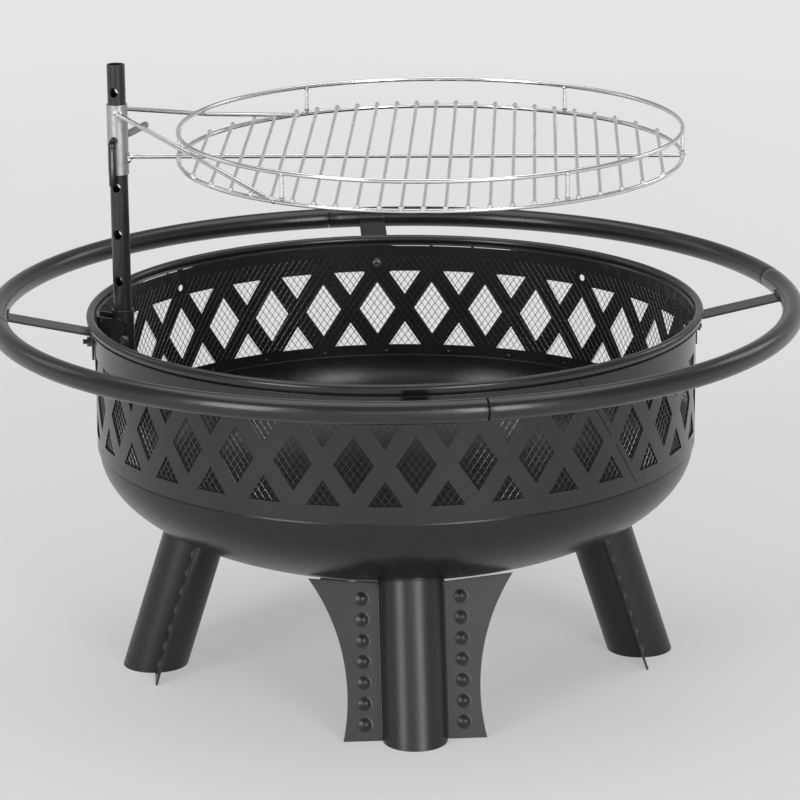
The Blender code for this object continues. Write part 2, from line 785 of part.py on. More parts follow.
def make_socket(parts, cutters, paint, bolt_steel):
    """The socket tube that carries the post, with a folded bracket to the band's wall."""
    centre = Vector((-post_reach, 0.0, 0.0))
    outer = bore_radius + socket_wall
    tube = cylinder("post_socket", outer, centre + Vector((0, 0, socket_bottom)),
                    centre + Vector((0, 0, socket_top)), parts, paint)
    inside = socket_flange_inside()
    wall = inside + plate_sheet
    high = socket_top - socket_bracket_drop
    low = high - socket_bracket_height
    half = outer + plate_sheet - clearance
    shell = box("shell", (-wall, -half, low), (-post_reach, half, high), cutters)
    room = box("room", (-inside, -outer + clearance, low - cut_margin),
               (-post_reach + outer, outer - clearance, high + cut_margin), cutters)
    boolean(shell, room, "DIFFERENCE")
    freeze(shell, room)
    boolean(tube, shell, "UNION")
    freeze(tube, shell)
    bore = cylinder("bore", bore_radius, centre + Vector((0, 0, socket_bottom + socket_floor)),
                    centre + Vector((0, 0, socket_top + cut_margin)), cutters)
    drain = cylinder("drain", socket_drain_diameter / 2,
                     centre + Vector((0, 0, socket_bottom - cut_margin)),
                     centre + Vector((0, 0, socket_top)), cutters, sides=12)
    bolt_hole = cylinder("bolt_hole", bolt_diameter / 2 + clearance,
                         (-wall - cut_margin, 0.0, hole_height),
                         (-inside + cut_margin, 0.0, hole_height), cutters, sides=12)
    screw_height = socket_top - set_screw_drop
    screw_hole = cylinder("screw_hole", bolt_diameter / 2 + clearance, (-post_reach, 0.0, screw_height),
                          (-post_reach, -2 * outer, screw_height), cutters, sides=12)
    for other in (bore, drain, bolt_hole, screw_hole):
        boolean(tube, other, "DIFFERENCE")
        freeze(tube, other)

    seat = -half - clearance
    tip = (-post_reach, -post_radius - clearance, screw_height)
    shank = cylinder("socket_set_screw", bolt_diameter / 2, tip,
                     (-post_reach, seat - bolt_head_height / 2, screw_height), parts, bolt_steel,
                     sides=12)
    head = cylinder("head", set_screw_head_diameter / 2, (-post_reach, seat, screw_height),
                    (-post_reach, seat - bolt_head_height, screw_height), cutters, sides=6)
    boolean(shank, head, "UNION")
    freeze(shank, head)


def make_sleeve(parts, cutters, zinc):
    """The sleeve that slides on the post, with a hole across it for the pin."""
    outer = bore_radius + sleeve_wall
    half = sleeve_height / 2
    profile = [(outer, half), (outer, -half), (bore_radius, -half), (bore_radius, half)]
    sleeve = turned("grate_sleeve", profile, parts, zinc, steps=24)
    sleeve.data.transform(Matrix.Translation((-post_reach, 0.0, pin_height)))
    reach = polar(outer * 2, pin_direction)
    middle = Vector((-post_reach, 0.0, pin_height))
    drill = cylinder("drill", pin_diameter / 2 + clearance, middle - reach, middle + reach, cutters,
                     sides=12)
    boolean(sleeve, drill, "DIFFERENCE")
    return freeze(sleeve, drill)


def make_grate(frame, parts, cutters, chrome):
    """The round grate: a ring, parallel rods on top of it, a cross rod and two struts."""
    ring_wire = grate_ring_wire / 2
    sleeve_outer = bore_radius + sleeve_wall
    centre = Vector((grate_arm, 0.0, grate_height))
    circle = [centre + polar(grate_ring_radius, 360.0 * index / grate_facets)
              for index in range(grate_facets)]
    grate = wire("cooking_grate", circle, ring_wire, parts, chrome, sides=6, cyclic=True)
    rod_height = grate_height + ring_wire + rod_wire / 2 - weld_sink
    rods = []
    for index in range(rod_count):
        along = (index - (rod_count - 1) / 2) * rod_pitch
        half = math.sqrt(grate_ring_radius ** 2 - along ** 2) + rod_overhang
        ends = [(grate_arm + along, -half, rod_height), (grate_arm + along, half, rod_height)]
        rods.append(wire("rod", ends, rod_wire / 2, cutters, sides=6))
    row = joined("rods", rods, cutters)
    boolean(grate, row, "UNION")
    freeze(grate, row)

    start = sleeve_outer + clearance
    cross = [(start, 0.0, grate_height - clearance),
             (grate_arm + grate_ring_radius, 0.0, grate_height - clearance)]
    struts = [wire("cross_rod", cross, ring_wire, cutters, sides=6)]
    for sign in (-1.0, 1.0):
        foot = centre + polar(grate_ring_radius, strut_foot_angle)
        foot.z = grate_height - weld_sink
        crossing = strut_crossing(foot)
        bend = Vector((crossing.x, crossing.y, rail_height - strut_under_rail))
        top_height = pin_height + strut_top_rise
        top_angle = math.degrees(math.atan2(crossing.y, crossing.x))
        slope = (top_height - bend.z) / crossing.length
        top = polar(start + ring_wire * slope, top_angle, top_height)
        path = [Vector((point.x, sign * point.y, point.z)) for point in (top, bend, foot)]
        struts.append(wire("strut", path, ring_wire, cutters, sides=6))
    for strut in struts:
        boolean(grate, strut, "UNION")
        freeze(grate, strut)
    grate.data.transform(frame)
    return grate


def strut_crossing(foot):
    """Point where the level line from the post to a strut's foot first crosses the grate's circle."""
    line = Vector((foot.x, foot.y))
    a = line.length_squared
    b = -2 * line.x * grate_arm
    c = grate_arm ** 2 - grate_ring_radius ** 2
    share = (-b - math.sqrt(b * b - 4 * a * c)) / (2 * a)
    return line * share


def make_rail(frame, parts, cutters, chrome):
    """The rail above the grate, on six short posts."""
    wire_radius = grate_ring_wire / 2
    centre = Vector((grate_arm, 0.0, rail_height))
    circle = [centre + polar(grate_ring_radius, 360.0 * index / grate_facets)
              for index in range(grate_facets)]
    rail = wire("grate_rail", circle, wire_radius, parts, chrome, sides=6, cyclic=True)
    posts = []
    for degrees in rail_post_angles:
        top = centre + polar(grate_ring_radius, degrees)
        low = Vector((top.x, top.y, grate_height + wire_radius + clearance))
        posts.append(wire("rail_post", [low, top], rail_post_wire / 2, cutters, sides=6))
    row = joined("rail_posts", posts, cutters)
    boolean(rail, row, "UNION")
    freeze(rail, row)
    rail.data.transform(frame)
    return rail


def make_pin(parts, black):
    """The bent pin through the sleeve and the post."""
    out = polar(1.0, pin_direction)
    middle = Vector((-post_reach, 0.0, pin_height))
    points = [middle - out * pin_tail]
    corner = middle + out * (pin_handle_reach - pin_bend_radius) - Vector((0, 0, pin_bend_radius))
    for index in range(pin_bend_steps + 1):
        angle = math.radians(90.0 * (1 - index / pin_bend_steps))
        points.append(corner + out * pin_bend_radius * math.cos(angle)
                      + Vector((0, 0, pin_bend_radius * math.sin(angle))))
    points.append(middle + out * pin_handle_reach - Vector((0, 0, pin_handle_drop)))
    return wire("lock_pin", points, pin_diameter / 2, parts, black, sides=10)


def main():
    """Clear the scene and build every part."""
    for thing in list(bpy.data.objects):
        bpy.data.objects.remove(thing)
    parts = collection_named("fire_pit")
    cutters = collection_named("cutters")
    paint = material_named("heat_paint_black", (0.030, 0.030, 0.031), 0.48, 0.0)
    mesh_steel = material_named("mesh_black", (0.022, 0.022, 0.023), 0.55, 0.0)
    zinc = material_named("zinc_plate", (0.56, 0.56, 0.57), 0.34, 1.0)
    chrome = material_named("chrome_wire", (0.72, 0.72, 0.73), 0.18, 1.0)
    gloss = material_named("gloss_black", (0.012, 0.012, 0.013), 0.12, 0.0)
    bolt_steel = material_named("black_bolt", (0.020, 0.020, 0.021), 0.25, 0.5)

    make_bowl(parts, paint)
    make_band(parts, cutters, paint)
    make_liner(parts, cutters, mesh_steel)
    make_rim(parts, paint)
    make_ring(parts, cutters, paint)
    make_brackets(parts, cutters, paint, bolt_steel)
    make_legs(parts, cutters, paint)
    make_post(parts, cutters, paint)
    make_socket(parts, cutters, paint, bolt_steel)
    swing = Matrix.Translation((-post_reach, 0.0, 0.0)) @ Matrix.Rotation(math.radians(swing_angle), 4, "Z")
    make_sleeve(parts, cutters, zinc)
    make_grate(swing, parts, cutters, chrome)
    make_rail(swing, parts, cutters, chrome)
    make_pin(parts, gloss)


if __name__ == "__main__":
    main()
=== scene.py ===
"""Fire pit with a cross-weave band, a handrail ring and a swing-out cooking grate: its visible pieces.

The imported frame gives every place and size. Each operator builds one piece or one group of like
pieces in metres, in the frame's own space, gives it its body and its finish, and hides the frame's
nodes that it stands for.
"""

import math

import bmesh
import bpy
from bpy.props import FloatProperty, FloatVectorProperty, IntProperty, PointerProperty
from mathutils import Matrix, Vector


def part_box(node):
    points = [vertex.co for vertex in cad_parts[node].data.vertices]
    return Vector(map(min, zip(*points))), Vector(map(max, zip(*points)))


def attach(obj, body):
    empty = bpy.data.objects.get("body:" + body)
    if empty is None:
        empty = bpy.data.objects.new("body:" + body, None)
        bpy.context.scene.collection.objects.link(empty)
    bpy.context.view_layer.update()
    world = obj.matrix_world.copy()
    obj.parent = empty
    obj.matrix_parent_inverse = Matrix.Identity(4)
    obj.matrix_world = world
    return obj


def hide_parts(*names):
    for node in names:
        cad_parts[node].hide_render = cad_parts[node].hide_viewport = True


bl_info = {
    "name": "Fire Pit with Cooking Grate",
    "version": (1, 0, 0),
    "blender": (4, 5, 0),
    "location": "View3D > Sidebar > Fire Pit",
    "description": "Builds a steel fire pit with a cross-weave band, handrail ring and cooking grate",
    "category": "Add Mesh",
}

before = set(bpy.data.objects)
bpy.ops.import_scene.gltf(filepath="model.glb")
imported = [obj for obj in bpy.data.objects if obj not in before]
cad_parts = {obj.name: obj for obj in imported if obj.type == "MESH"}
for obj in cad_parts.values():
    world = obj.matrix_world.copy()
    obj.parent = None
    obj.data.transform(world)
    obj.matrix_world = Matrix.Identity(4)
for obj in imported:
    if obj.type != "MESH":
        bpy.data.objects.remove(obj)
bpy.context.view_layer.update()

SIDES = ("right", "back", "left", "front")
RING_TUBES = ("front_right", "back_right", "back_left", "front_left")
QUARTER = math.radians(90.0)
FIRST_TACK = math.radians(61.6)
FIRST_SPOT = math.radians(88.2)
LINER_SHEET = 0.001
NECK_LENGTH = 0.017
BRACKET_UPRIGHT = 0.030
BOLT_HOLE_RADIUS = 0.0033
WING_LIFT = 0.0072
FLOOR_RADIUS = 14.0

bowl_low, bowl_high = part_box("fire_bowl")
band_low, band_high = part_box("cross_weave_band")
rim_low, rim_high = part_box("rim_ring")
ring_low, ring_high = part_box("ring_tube_back_left")
post_low, post_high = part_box("post")
socket_low, socket_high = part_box("post_socket")
sleeve_low, sleeve_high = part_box("grate_sleeve")
rail_low, rail_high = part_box("grate_rail")
nut_low, nut_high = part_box("ring_nut_back")
bracket_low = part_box("ring_bracket_right")[0]
screw_low, screw_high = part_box("socket_set_screw")

BOWL_RADIUS = bowl_high.x
BAND_RADIUS = band_high.x
RIM_RADIUS = rim_high.x
RING_TUBE_RADIUS = (ring_high.z - ring_low.z) / 2
RING_HEIGHT = (ring_high.z + ring_low.z) / 2
RING_RADIUS = ring_high.y - RING_TUBE_RADIUS
POST_CENTRE = Vector(((post_low.x + post_high.x) / 2, 0.0, 0.0))
POST_RADIUS = (post_high.y - post_low.y) / 2
GRATE_CENTRE = Vector(((rail_low.x + rail_high.x) / 2, (rail_low.y + rail_high.y) / 2, 0.0))
RAIL_RADIUS = (rail_high.x - rail_low.x) / 2
ARM = (GRATE_CENTRE - POST_CENTRE).length
SWING = math.atan2(GRATE_CENTRE.y, GRATE_CENTRE.x - POST_CENTRE.x)
SWING_PLACE = Matrix.Translation(POST_CENTRE) @ Matrix.Rotation(SWING, 4, "Z")
BOLT_HEIGHT = (nut_low.z + nut_high.z) / 2
PIN_HEIGHT = (sleeve_low.z + sleeve_high.z) / 2


class BowlSettings(bpy.types.PropertyGroup):
    """Sizes of the pressed bowl."""

    sheet: FloatProperty(
        name="Sheet", description="Thickness of the bowl", default=0.002, unit="LENGTH")
    overlap: FloatProperty(
        name="Overlap", description="How far the edge stands below the top of the bowl's solid",
        default=0.0122, unit="LENGTH")
    groove: FloatProperty(
        name="Groove", description="Depth of the groove below the band's hem",
        default=0.0007, unit="LENGTH")
    shoulder: FloatProperty(
        name="Shoulder height", description="Height at which the straight wall meets the dish",
        default=band_low.z + 0.001, unit="LENGTH")
    fullness: FloatProperty(
        name="Fullness", description="How full the dish is, where 2 is a half ellipse", default=2.1)
    rings: IntProperty(name="Rings", description="Rings of faces down the dish", default=40, min=8)
    steps: IntProperty(name="Steps", description="Faces round the bowl", default=192, min=32)


class BandSettings(bpy.types.PropertyGroup):
    """Sizes of the band with the crossing strips."""

    sheet: FloatProperty(
        name="Sheet", description="Thickness of the band", default=0.0015, unit="LENGTH")
    diamonds: IntProperty(name="Diamonds", description="Diamonds round the band", default=32, min=8)
    centre_drop: FloatProperty(
        name="Lattice drop", description="Distance from the band's top edge to the lattice's middle",
        default=0.0740, unit="LENGTH")
    lattice_height: FloatProperty(
        name="Lattice height", description="Height of the openings' rows", default=0.091,
        unit="LENGTH")
    strip_width: FloatProperty(
        name="Strip width", description="Width of a slanting strip", default=0.019, unit="LENGTH")
    strip_slope: FloatProperty(
        name="Strip slope", description="Angle of a strip to the level", default=math.radians(56.0),
        subtype="ANGLE")
    hole_width: FloatProperty(
        name="Hole", description="Diameter of a bolt hole", default=0.0078, unit="LENGTH")
    slit: FloatProperty(
        name="Slit", description="Height of the slit below the rim", default=0.001, unit="LENGTH")
    tab_width: FloatProperty(
        name="Tab", description="Width of a tab that holds the rim", default=0.008, unit="LENGTH")
    tabs: IntProperty(name="Tabs", description="Tabs and bolt holes round the band", default=8, min=1)
    lift: FloatProperty(
        name="Lift", description="How far the band's edge rises behind the rim", default=0.0019,
        unit="LENGTH")
    open_spans: FloatVectorProperty(
        name="Open spans", description="Start and end in degrees of both spans of open slit",
        size=4, default=(60.5, 88.0, 131.0, 149.0))
    tacks: IntProperty(name="Tacks", description="Tack welds in the slit", default=42, min=1)
    spots: IntProperty(name="Spots", description="Spot welds to the bowl", default=28, min=1)
    hem: FloatProperty(
        name="Hem", description="Radius of the rounded lower edge", default=0.0010, unit="LENGTH")
    spot_height: FloatProperty(
        name="Spot height", description="Height of the spot welds above the ground", default=0.2705,
        unit="LENGTH")
    seam_angle: FloatProperty(
        name="Seam", description="Angle at which the slanting seam crosses the lattice's middle",
        default=math.radians(309.9), subtype="ANGLE")
    seam_gap: FloatProperty(
        name="Seam gap", description="Width of the slanting seam", default=0.0009, unit="LENGTH")


class LinerSettings(bpy.types.PropertyGroup):
    """Sizes of the expanded mesh behind the band."""

    cells: IntProperty(name="Cells", description="Mesh cells round the liner", default=256, min=32)
    cell_height: FloatProperty(
        name="Cell height", description="Height of a mesh cell", default=0.0114, unit="LENGTH")
    strand: FloatProperty(
        name="Strand", description="Width of a strand", default=0.0011, unit="LENGTH")
    top: FloatProperty(
        name="Top", description="Height of the mesh's upper edge", default=0.3885, unit="LENGTH")
    bolt_clearance: FloatProperty(
        name="Bolt clearance", description="Bare radius round each hole", default=0.0068,
        unit="LENGTH")


class RingSettings(bpy.types.PropertyGroup):
    """Sizes of the handrail ring and its brackets."""

    seam_gap: FloatProperty(
        name="Seam gap", description="Visible gap between two tubes", default=0.0018, unit="LENGTH")
    edge: FloatProperty(
        name="Edge", description="Rounding of a tube's mouth", default=0.0003, unit="LENGTH")
    neck_inset: FloatProperty(
        name="Neck inset", description="How much thinner the drawn-in neck is", default=0.0042,
        unit="LENGTH")
    bracket_width: FloatProperty(
        name="Bracket width", description="Width of a bracket's strip", default=0.031, unit="LENGTH")
    plate: FloatProperty(
        name="Plate", description="Thickness of the brackets and wings", default=0.0025,
        unit="LENGTH")
    bend: FloatProperty(
        name="Bend", description="Inner radius of the bracket's bend", default=0.003, unit="LENGTH")
    weld: FloatProperty(
        name="Weld", description="Radius of a weld bead", default=0.0017, unit="LENGTH")


class LegSettings(bpy.types.PropertyGroup):
    """Sizes of the legs and their wings."""

    tube: FloatProperty(
        name="Tube", description="Diameter of a leg's tube", default=0.070, unit="LENGTH")
    wall: FloatProperty(name="Wall", description="Wall of the tube", default=0.002, unit="LENGTH")
    lean: FloatProperty(
        name="Lean", description="Lean of a leg", default=math.radians(17.5), subtype="ANGLE")
    spread: FloatProperty(
        name="Spread", description="Radius at which a leg's axis meets the ground", default=0.2765,
        unit="LENGTH")
    wing_top: FloatProperty(
        name="Wing top", description="Half the width across the wings at the top", default=0.1104,
        unit="LENGTH")
    wing_waist: FloatProperty(
        name="Wing waist", description="Half the width at the waist", default=0.0717, unit="LENGTH")
    wing_foot: FloatProperty(
        name="Wing foot", description="Half the width at the foot", default=0.0775, unit="LENGTH")
    wing_gap: FloatProperty(
        name="Wing gap", description="Gap between a wing and the bowl", default=0.0009,
        unit="LENGTH")
    waist_share: FloatProperty(
        name="Waist share", description="Where the waist stands between foot and top", default=0.31)
    domes: IntProperty(name="Domes", description="Pressed domes on a wing", default=7, min=1)
    dome_offset: FloatProperty(
        name="Dome offset", description="Distance of the domes from the leg's axis", default=0.0534,
        unit="LENGTH")
    dome_pitch: FloatProperty(
        name="Dome pitch", description="Distance between two domes", default=0.0225, unit="LENGTH")
    dome_foot: FloatProperty(
        name="Dome foot", description="Height of the lowest dome", default=0.018, unit="LENGTH")
    dome_width: FloatProperty(
        name="Dome width", description="Diameter of a dome", default=0.0148, unit="LENGTH")
    dome_rise: FloatProperty(
        name="Dome rise", description="Height of a dome", default=0.0026, unit="LENGTH")


class PostSettings(bpy.types.PropertyGroup):
    """Sizes of the post, its socket, the sleeve and the pin."""

    wall: FloatProperty(name="Wall", description="Wall of the post", default=0.0018, unit="LENGTH")
    holes: IntProperty(name="Holes", description="Holes down the post", default=5, min=1)
    hole_width: FloatProperty(
        name="Hole", description="Diameter of a hole", default=0.0106, unit="LENGTH")
    hole_pitch: FloatProperty(
        name="Hole pitch", description="Distance between two holes", default=0.053, unit="LENGTH")
    first_hole: FloatProperty(
        name="First hole", description="Distance of the first hole from the top", default=0.030,
        unit="LENGTH")
    fit: FloatProperty(
        name="Fit", description="Play between post and bore", default=0.0003, unit="LENGTH")
    socket_wall: FloatProperty(
        name="Socket wall", description="Wall of the socket", default=0.002, unit="LENGTH")
    sleeve_wall: FloatProperty(
        name="Sleeve wall", description="Wall of the sleeve", default=0.0012, unit="LENGTH")
    pin_width: FloatProperty(
        name="Pin", description="Diameter of the pin", default=0.008, unit="LENGTH")
    pin_direction: FloatProperty(
        name="Pin direction", description="Direction in which the pin is pulled",
        default=math.radians(247.2), subtype="ANGLE")
    pin_tail: FloatProperty(
        name="Pin tail", description="Length of the pin past the post's axis", default=0.080,
        unit="LENGTH")
    handle_reach: FloatProperty(
        name="Handle reach", description="Distance of the handle from the axis", default=0.0175,
        unit="LENGTH")
    handle_drop: FloatProperty(
        name="Handle drop", description="Length of the handle", default=0.050, unit="LENGTH")
    bend: FloatProperty(
        name="Bend", description="Radius of the pin's bend", default=0.006, unit="LENGTH")


class GrateSettings(bpy.types.PropertyGroup):
    """Sizes of the cooking grate and its rail."""

    wire: FloatProperty(
        name="Ring wire", description="Diameter of the ring's wire", default=0.005, unit="LENGTH")
    drop: FloatProperty(
        name="Drop", description="Height of the ring below the pin", default=0.0194, unit="LENGTH")
    rods: IntProperty(name="Rods", description="Parallel rods", default=23, min=3)
    rod_wire: FloatProperty(
        name="Rod wire", description="Diameter of a rod", default=0.004, unit="LENGTH")
    rod_pitch: FloatProperty(
        name="Rod pitch", description="Distance between two rods", default=0.0228, unit="LENGTH")
    overhang: FloatProperty(
        name="Overhang", description="How far a rod passes the ring's middle", default=0.004,
        unit="LENGTH")
    sink: FloatProperty(
        name="Weld sink", description="How deep two wires are welded", default=0.0008,
        unit="LENGTH")
    rail_post_wire: FloatProperty(
        name="Rail post wire", description="Diameter of a rail post", default=0.0045,
        unit="LENGTH")
    post_gaps: FloatProperty(
        name="Post gaps", description="Rod gaps from the middle to a slanted post", default=6.5)
    strut_under_rail: FloatProperty(
        name="Strut under rail", description="Drop of a strut's bend below the rail",
        default=0.007, unit="LENGTH")
    strut_foot: FloatProperty(
        name="Strut foot", description="Distance of a strut's foot past its rail post",
        default=0.010, unit="LENGTH")
    strut_top: FloatProperty(
        name="Strut top", description="Height of a strut's top above the pin", default=0.0315,
        unit="LENGTH")
    strut_seat: FloatProperty(
        name="Strut seat", description="Angle from the arm to a strut's seat on the sleeve",
        default=math.radians(91.5), subtype="ANGLE")


class FinishSettings(bpy.types.PropertyGroup):
    """Colours of the finishes."""

    paint: FloatVectorProperty(
        name="Paint", description="Heat-resistant black paint", subtype="COLOR", min=0.0, max=1.0,
        default=(0.012, 0.012, 0.0123))
    bowl: FloatVectorProperty(
        name="Bowl", description="Paint of the bowl", subtype="COLOR", min=0.0, max=1.0,
        default=(0.012, 0.012, 0.0123))
    mesh: FloatVectorProperty(
        name="Mesh", description="Black mesh", subtype="COLOR", min=0.0, max=1.0,
        default=(0.13, 0.13, 0.132))
    zinc: FloatVectorProperty(
        name="Zinc", description="Zinc plate on the sleeve", subtype="COLOR", min=0.0, max=1.0,
        default=(0.47, 0.47, 0.48))
    chrome: FloatVectorProperty(
        name="Wire", description="Bright plated wire", subtype="COLOR", min=0.0, max=1.0,
        default=(0.76, 0.76, 0.77))
    gloss: FloatVectorProperty(
        name="Gloss black", description="Dipped coat on the pin", subtype="COLOR", min=0.0, max=1.0,
        default=(0.004, 0.004, 0.0045))


class StageSettings(bpy.types.PropertyGroup):
    """Camera and light."""

    camera_place: FloatVectorProperty(
        name="Camera", description="Place of the camera", subtype="TRANSLATION", unit="LENGTH",
        default=(-0.2649, -4.2505, 1.4915))
    camera_pitch: FloatProperty(
        name="Pitch", description="Downward tilt of the camera", default=math.radians(15.602),
        subtype="ANGLE")
    camera_heading: FloatProperty(
        name="Heading", description="Turn of the camera to the right", default=math.radians(3.63),
        subtype="ANGLE")
    camera_roll: FloatProperty(
        name="Roll", description="Roll of the camera", default=math.radians(-0.6), subtype="ANGLE")
    lens: FloatProperty(name="Lens", description="Focal length in millimetres", default=177.5)
    backdrop: FloatVectorProperty(
        name="Backdrop", description="Colour of the backdrop", subtype="COLOR", min=0.0, max=1.0,
        default=(0.80, 0.80, 0.80))
    world_light: FloatProperty(
        name="World light", description="Strength of the surrounding light", default=0.5)
    walls: FloatProperty(
        name="Walls", description="Brightness of the walls around, as a share of the backdrop's",
        default=0.80)
    floor_share: FloatProperty(
        name="Floor share", description="Share of plain backdrop colour in the floor as it is seen",
        default=0.5)
    ceiling: FloatProperty(
        name="Ceiling", description="Brightness overhead, as a share of that at the horizon",
        default=0.40)


class FirePitSettings(bpy.types.PropertyGroup):
    """All the sizes and colours of the fire pit."""

    bowl: PointerProperty(type=BowlSettings)
    band: PointerProperty(type=BandSettings)
    liner: PointerProperty(type=LinerSettings)
    ring: PointerProperty(type=RingSettings)
    legs: PointerProperty(type=LegSettings)
    post: PointerProperty(type=PostSettings)
    grate: PointerProperty(type=GrateSettings)
    finish: PointerProperty(type=FinishSettings)
    stage: PointerProperty(type=StageSettings)


def settings():
    """The scene's fire pit settings."""
    return bpy.context.scene.fire_pit


# Mesh helpers


def new_piece(name, work, sharp=35.0, outward=True):
    """Turn a bmesh into a linked object, shaded smooth between its sharp edges."""
    if outward:
        bmesh.ops.recalc_face_normals(work, faces=work.faces)
    mesh = bpy.data.meshes.new(name)
    work.to_mesh(mesh)
    work.free()
    thing = bpy.data.objects.new(name, mesh)
    bpy.context.scene.collection.objects.link(thing)
    mesh.shade_smooth()
    mesh.set_sharp_from_angle(angle=math.radians(sharp))
    return thing


def plain_mesh(thing, sharp=35.0):
    """Make an object's modifiers its real mesh."""
    bpy.context.view_layer.update()
    graph = bpy.context.evaluated_depsgraph_get()
    mesh = bpy.data.meshes.new_from_object(thing.evaluated_get(graph))
    thing.modifiers.clear()
    old = thing.data
    thing.data = mesh
    bpy.data.meshes.remove(old)
    mesh.shade_smooth()
    mesh.set_sharp_from_angle(angle=math.radians(sharp))
    return thing


def combined(name, things, sharp=35.0):
    """Join several objects' meshes into one piece."""
    work = bmesh.new()
    for thing in things:
        thing.data.transform(thing.matrix_world)
        work.from_mesh(thing.data)
        bpy.data.objects.remove(thing)
    return new_piece(name, work, sharp, outward=False)


def skin(work, rows, wrap=True, loop=False):
    """Bridge rows of points with faces. A row of one point is a pole."""
    made = [[work.verts.new(point) for point in row] for row in rows]
    pairs = list(zip(made, made[1:]))
    if loop:
        pairs.append((made[-1], made[0]))
    for first, second in pairs:
        count = max(len(first), len(second))
        for index in range(count if wrap else count - 1):
            after = (index + 1) % count
            corners = [first[index % len(first)], first[after % len(first)],
                       second[after % len(second)], second[index % len(second)]]
            work.faces.new(list(dict.fromkeys(corners)))
    return made


def closed_skin(work, rows):
    """Bridge rows of points, and close the first and the last row with a face."""
    made = skin(work, rows)
    work.faces.new(made[0][::-1])
    work.faces.new(made[-1])


def circle_points(radius, height, steps, centre=(0.0, 0.0)):
    """Points on a level circle, or the one point of a pole."""
    if radius < 1e-7:
        return [Vector((centre[0], centre[1], height))]
    return [Vector((centre[0] + radius * math.cos(math.tau * index / steps),
                    centre[1] + radius * math.sin(math.tau * index / steps), height))
            for index in range(steps)]


def turned_piece(name, profile, steps, closed=False, centre=(0.0, 0.0), place=None, sharp=35.0):
    """Turn a profile of radius and height round a vertical axis."""
    work = bmesh.new()
    skin(work, [circle_points(radius, height, steps, centre) for radius, height in profile],
         loop=closed)
    if place is not None:
        work.transform(place)
    return new_piece(name, work, sharp)


def rounded_mouth(end, inward, radius, edge):
    """Places and radii that round the end of a rod over an edge."""
    return [(end + inward * edge * (1 - math.cos(QUARTER * step / 3)),
             radius - edge * (1 - math.sin(QUARTER * step / 3))) for step in range(4)]


def sweep(work, points, radius, sides=12, cyclic=False, edge=0.0, swell=None):
    """Sweep a round section along points, with rounded mouths and a radius that may vary."""
    points = [Vector(point) for point in points]
    stations = [(point, radius) for point in points]
    if swell is not None:
        stations = [(point, radius * swell(index)) for index, point in enumerate(points)]
    if not cyclic and edge > 0.0:
        first = (points[1] - points[0]).normalized()
        last = (points[-2] - points[-1]).normalized()
        head = rounded_mouth(points[0], first, stations[0][1], edge)
        tail = rounded_mouth(points[-1], last, stations[-1][1], edge)
        stations = head + stations[1:-1] + tail[::-1]
    places = [station[0] for station in stations]
    count = len(places)
    rows = []
    up = None
    for index, (place, size) in enumerate(stations):
        before = places[index - 1] if cyclic or index > 0 else place
        after = places[(index + 1) % count] if cyclic or index < count - 1 else place
        along = (after - before).normalized()
        if up is None:
            up = Vector((0, 0, 1)) if abs(along.z) < 0.9 else Vector((1, 0, 0))
        side = along.cross(up).normalized()
        up = side.cross(along).normalized()
        rows.append([place + size * (up * math.cos(math.tau * step / sides)
                                     + side * math.sin(math.tau * step / sides))
                     for step in range(sides)])
    if cyclic:
        skin(work, rows, loop=True)
    else:
        closed_skin(work, rows)


def swept_piece(name, points, radius, sides=12, cyclic=False, edge=0.0, swell=None, sharp=35.0):
    """A new object with one round section swept along points."""
    work = bmesh.new()
    sweep(work, points, radius, sides, cyclic, edge, swell)
    return new_piece(name, work, sharp)


def ripple(share, beads):
    """A swell that gives a weld its row of beads."""
    return lambda index: 1.0 + share * math.cos(math.tau * index / beads)


def blob(work, centre, sizes, turn=0.0):
    """A small rounded lump of weld."""
    place = (Matrix.Translation(centre) @ Matrix.Rotation(turn, 4, "Z")
             @ Matrix.Diagonal((*sizes, 1.0)))
    bmesh.ops.create_uvsphere(work, u_segments=10, v_segments=6, radius=1.0, matrix=place)


def polar(radius, angle, height=0.0):
    """A point at a radius and an angle round Z."""
    return Vector((radius * math.cos(angle), radius * math.sin(angle), height))


def level_arc(radius, start, end, height, step=math.radians(1.5)):
    """Points along a level arc round Z."""
    count = max(4, math.ceil((end - start) / step))
    return [polar(radius, start + (end - start) * index / count, height)
            for index in range(count + 1)]


def drilled(thing, drills, sharp=35.0):
    """Cut a joined set of drills out of an object."""
    cutter = combined(thing.name + "_drills", drills)
    cut = thing.modifiers.new("drill", "BOOLEAN")
    cut.operation = "DIFFERENCE"
    cut.solver = "EXACT"
    cut.object = cutter
    plain_mesh(thing, sharp)
    bpy.data.objects.remove(cutter)
    return thing


def drill_between(start, end, radius, sides=24):
    """A closed cylinder between two points, for cutting a hole."""
    return swept_piece("drill", [start, end], radius, sides)


def hand_over(thing, body, slot, material, *nodes):
    """Give a finished piece its material and its body, and hide the nodes that it stands for."""
    thing.data.materials.clear()
    thing.data.materials.append(material)
    thing.data.polygons.foreach_set("material_index", [0] * len(thing.data.polygons))
    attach(thing, body)
    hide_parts(*nodes)


# Node helpers


def add_node(tree, kind, inputs=None, **options):
    """Add a node, set its options, and link or set its inputs by name or number."""
    node = tree.nodes.new(kind)
    for key, value in options.items():
        setattr(node, key, value)
    for key, value in (inputs or {}).items():
        if isinstance(value, bpy.types.NodeSocket):
            tree.links.new(value, node.inputs[key])
        else:
            node.inputs[key].default_value = value
    return node


def maths(tree, operation, first, second=0.0, third=0.0):
    """The result of one Math node."""
    node = add_node(tree, "ShaderNodeMath", {0: first, 1: second, 2: third}, operation=operation)
    return node.outputs[0]


def ranged(tree, value, start, end, low=0.0, high=1.0):
    """A value taken from one range to another, and held at both ends."""
    return add_node(tree, "ShaderNodeMapRange",
                    {"Value": value, "From Min": start, "From Max": end, "To Min": low,
                     "To Max": high}).outputs[0]


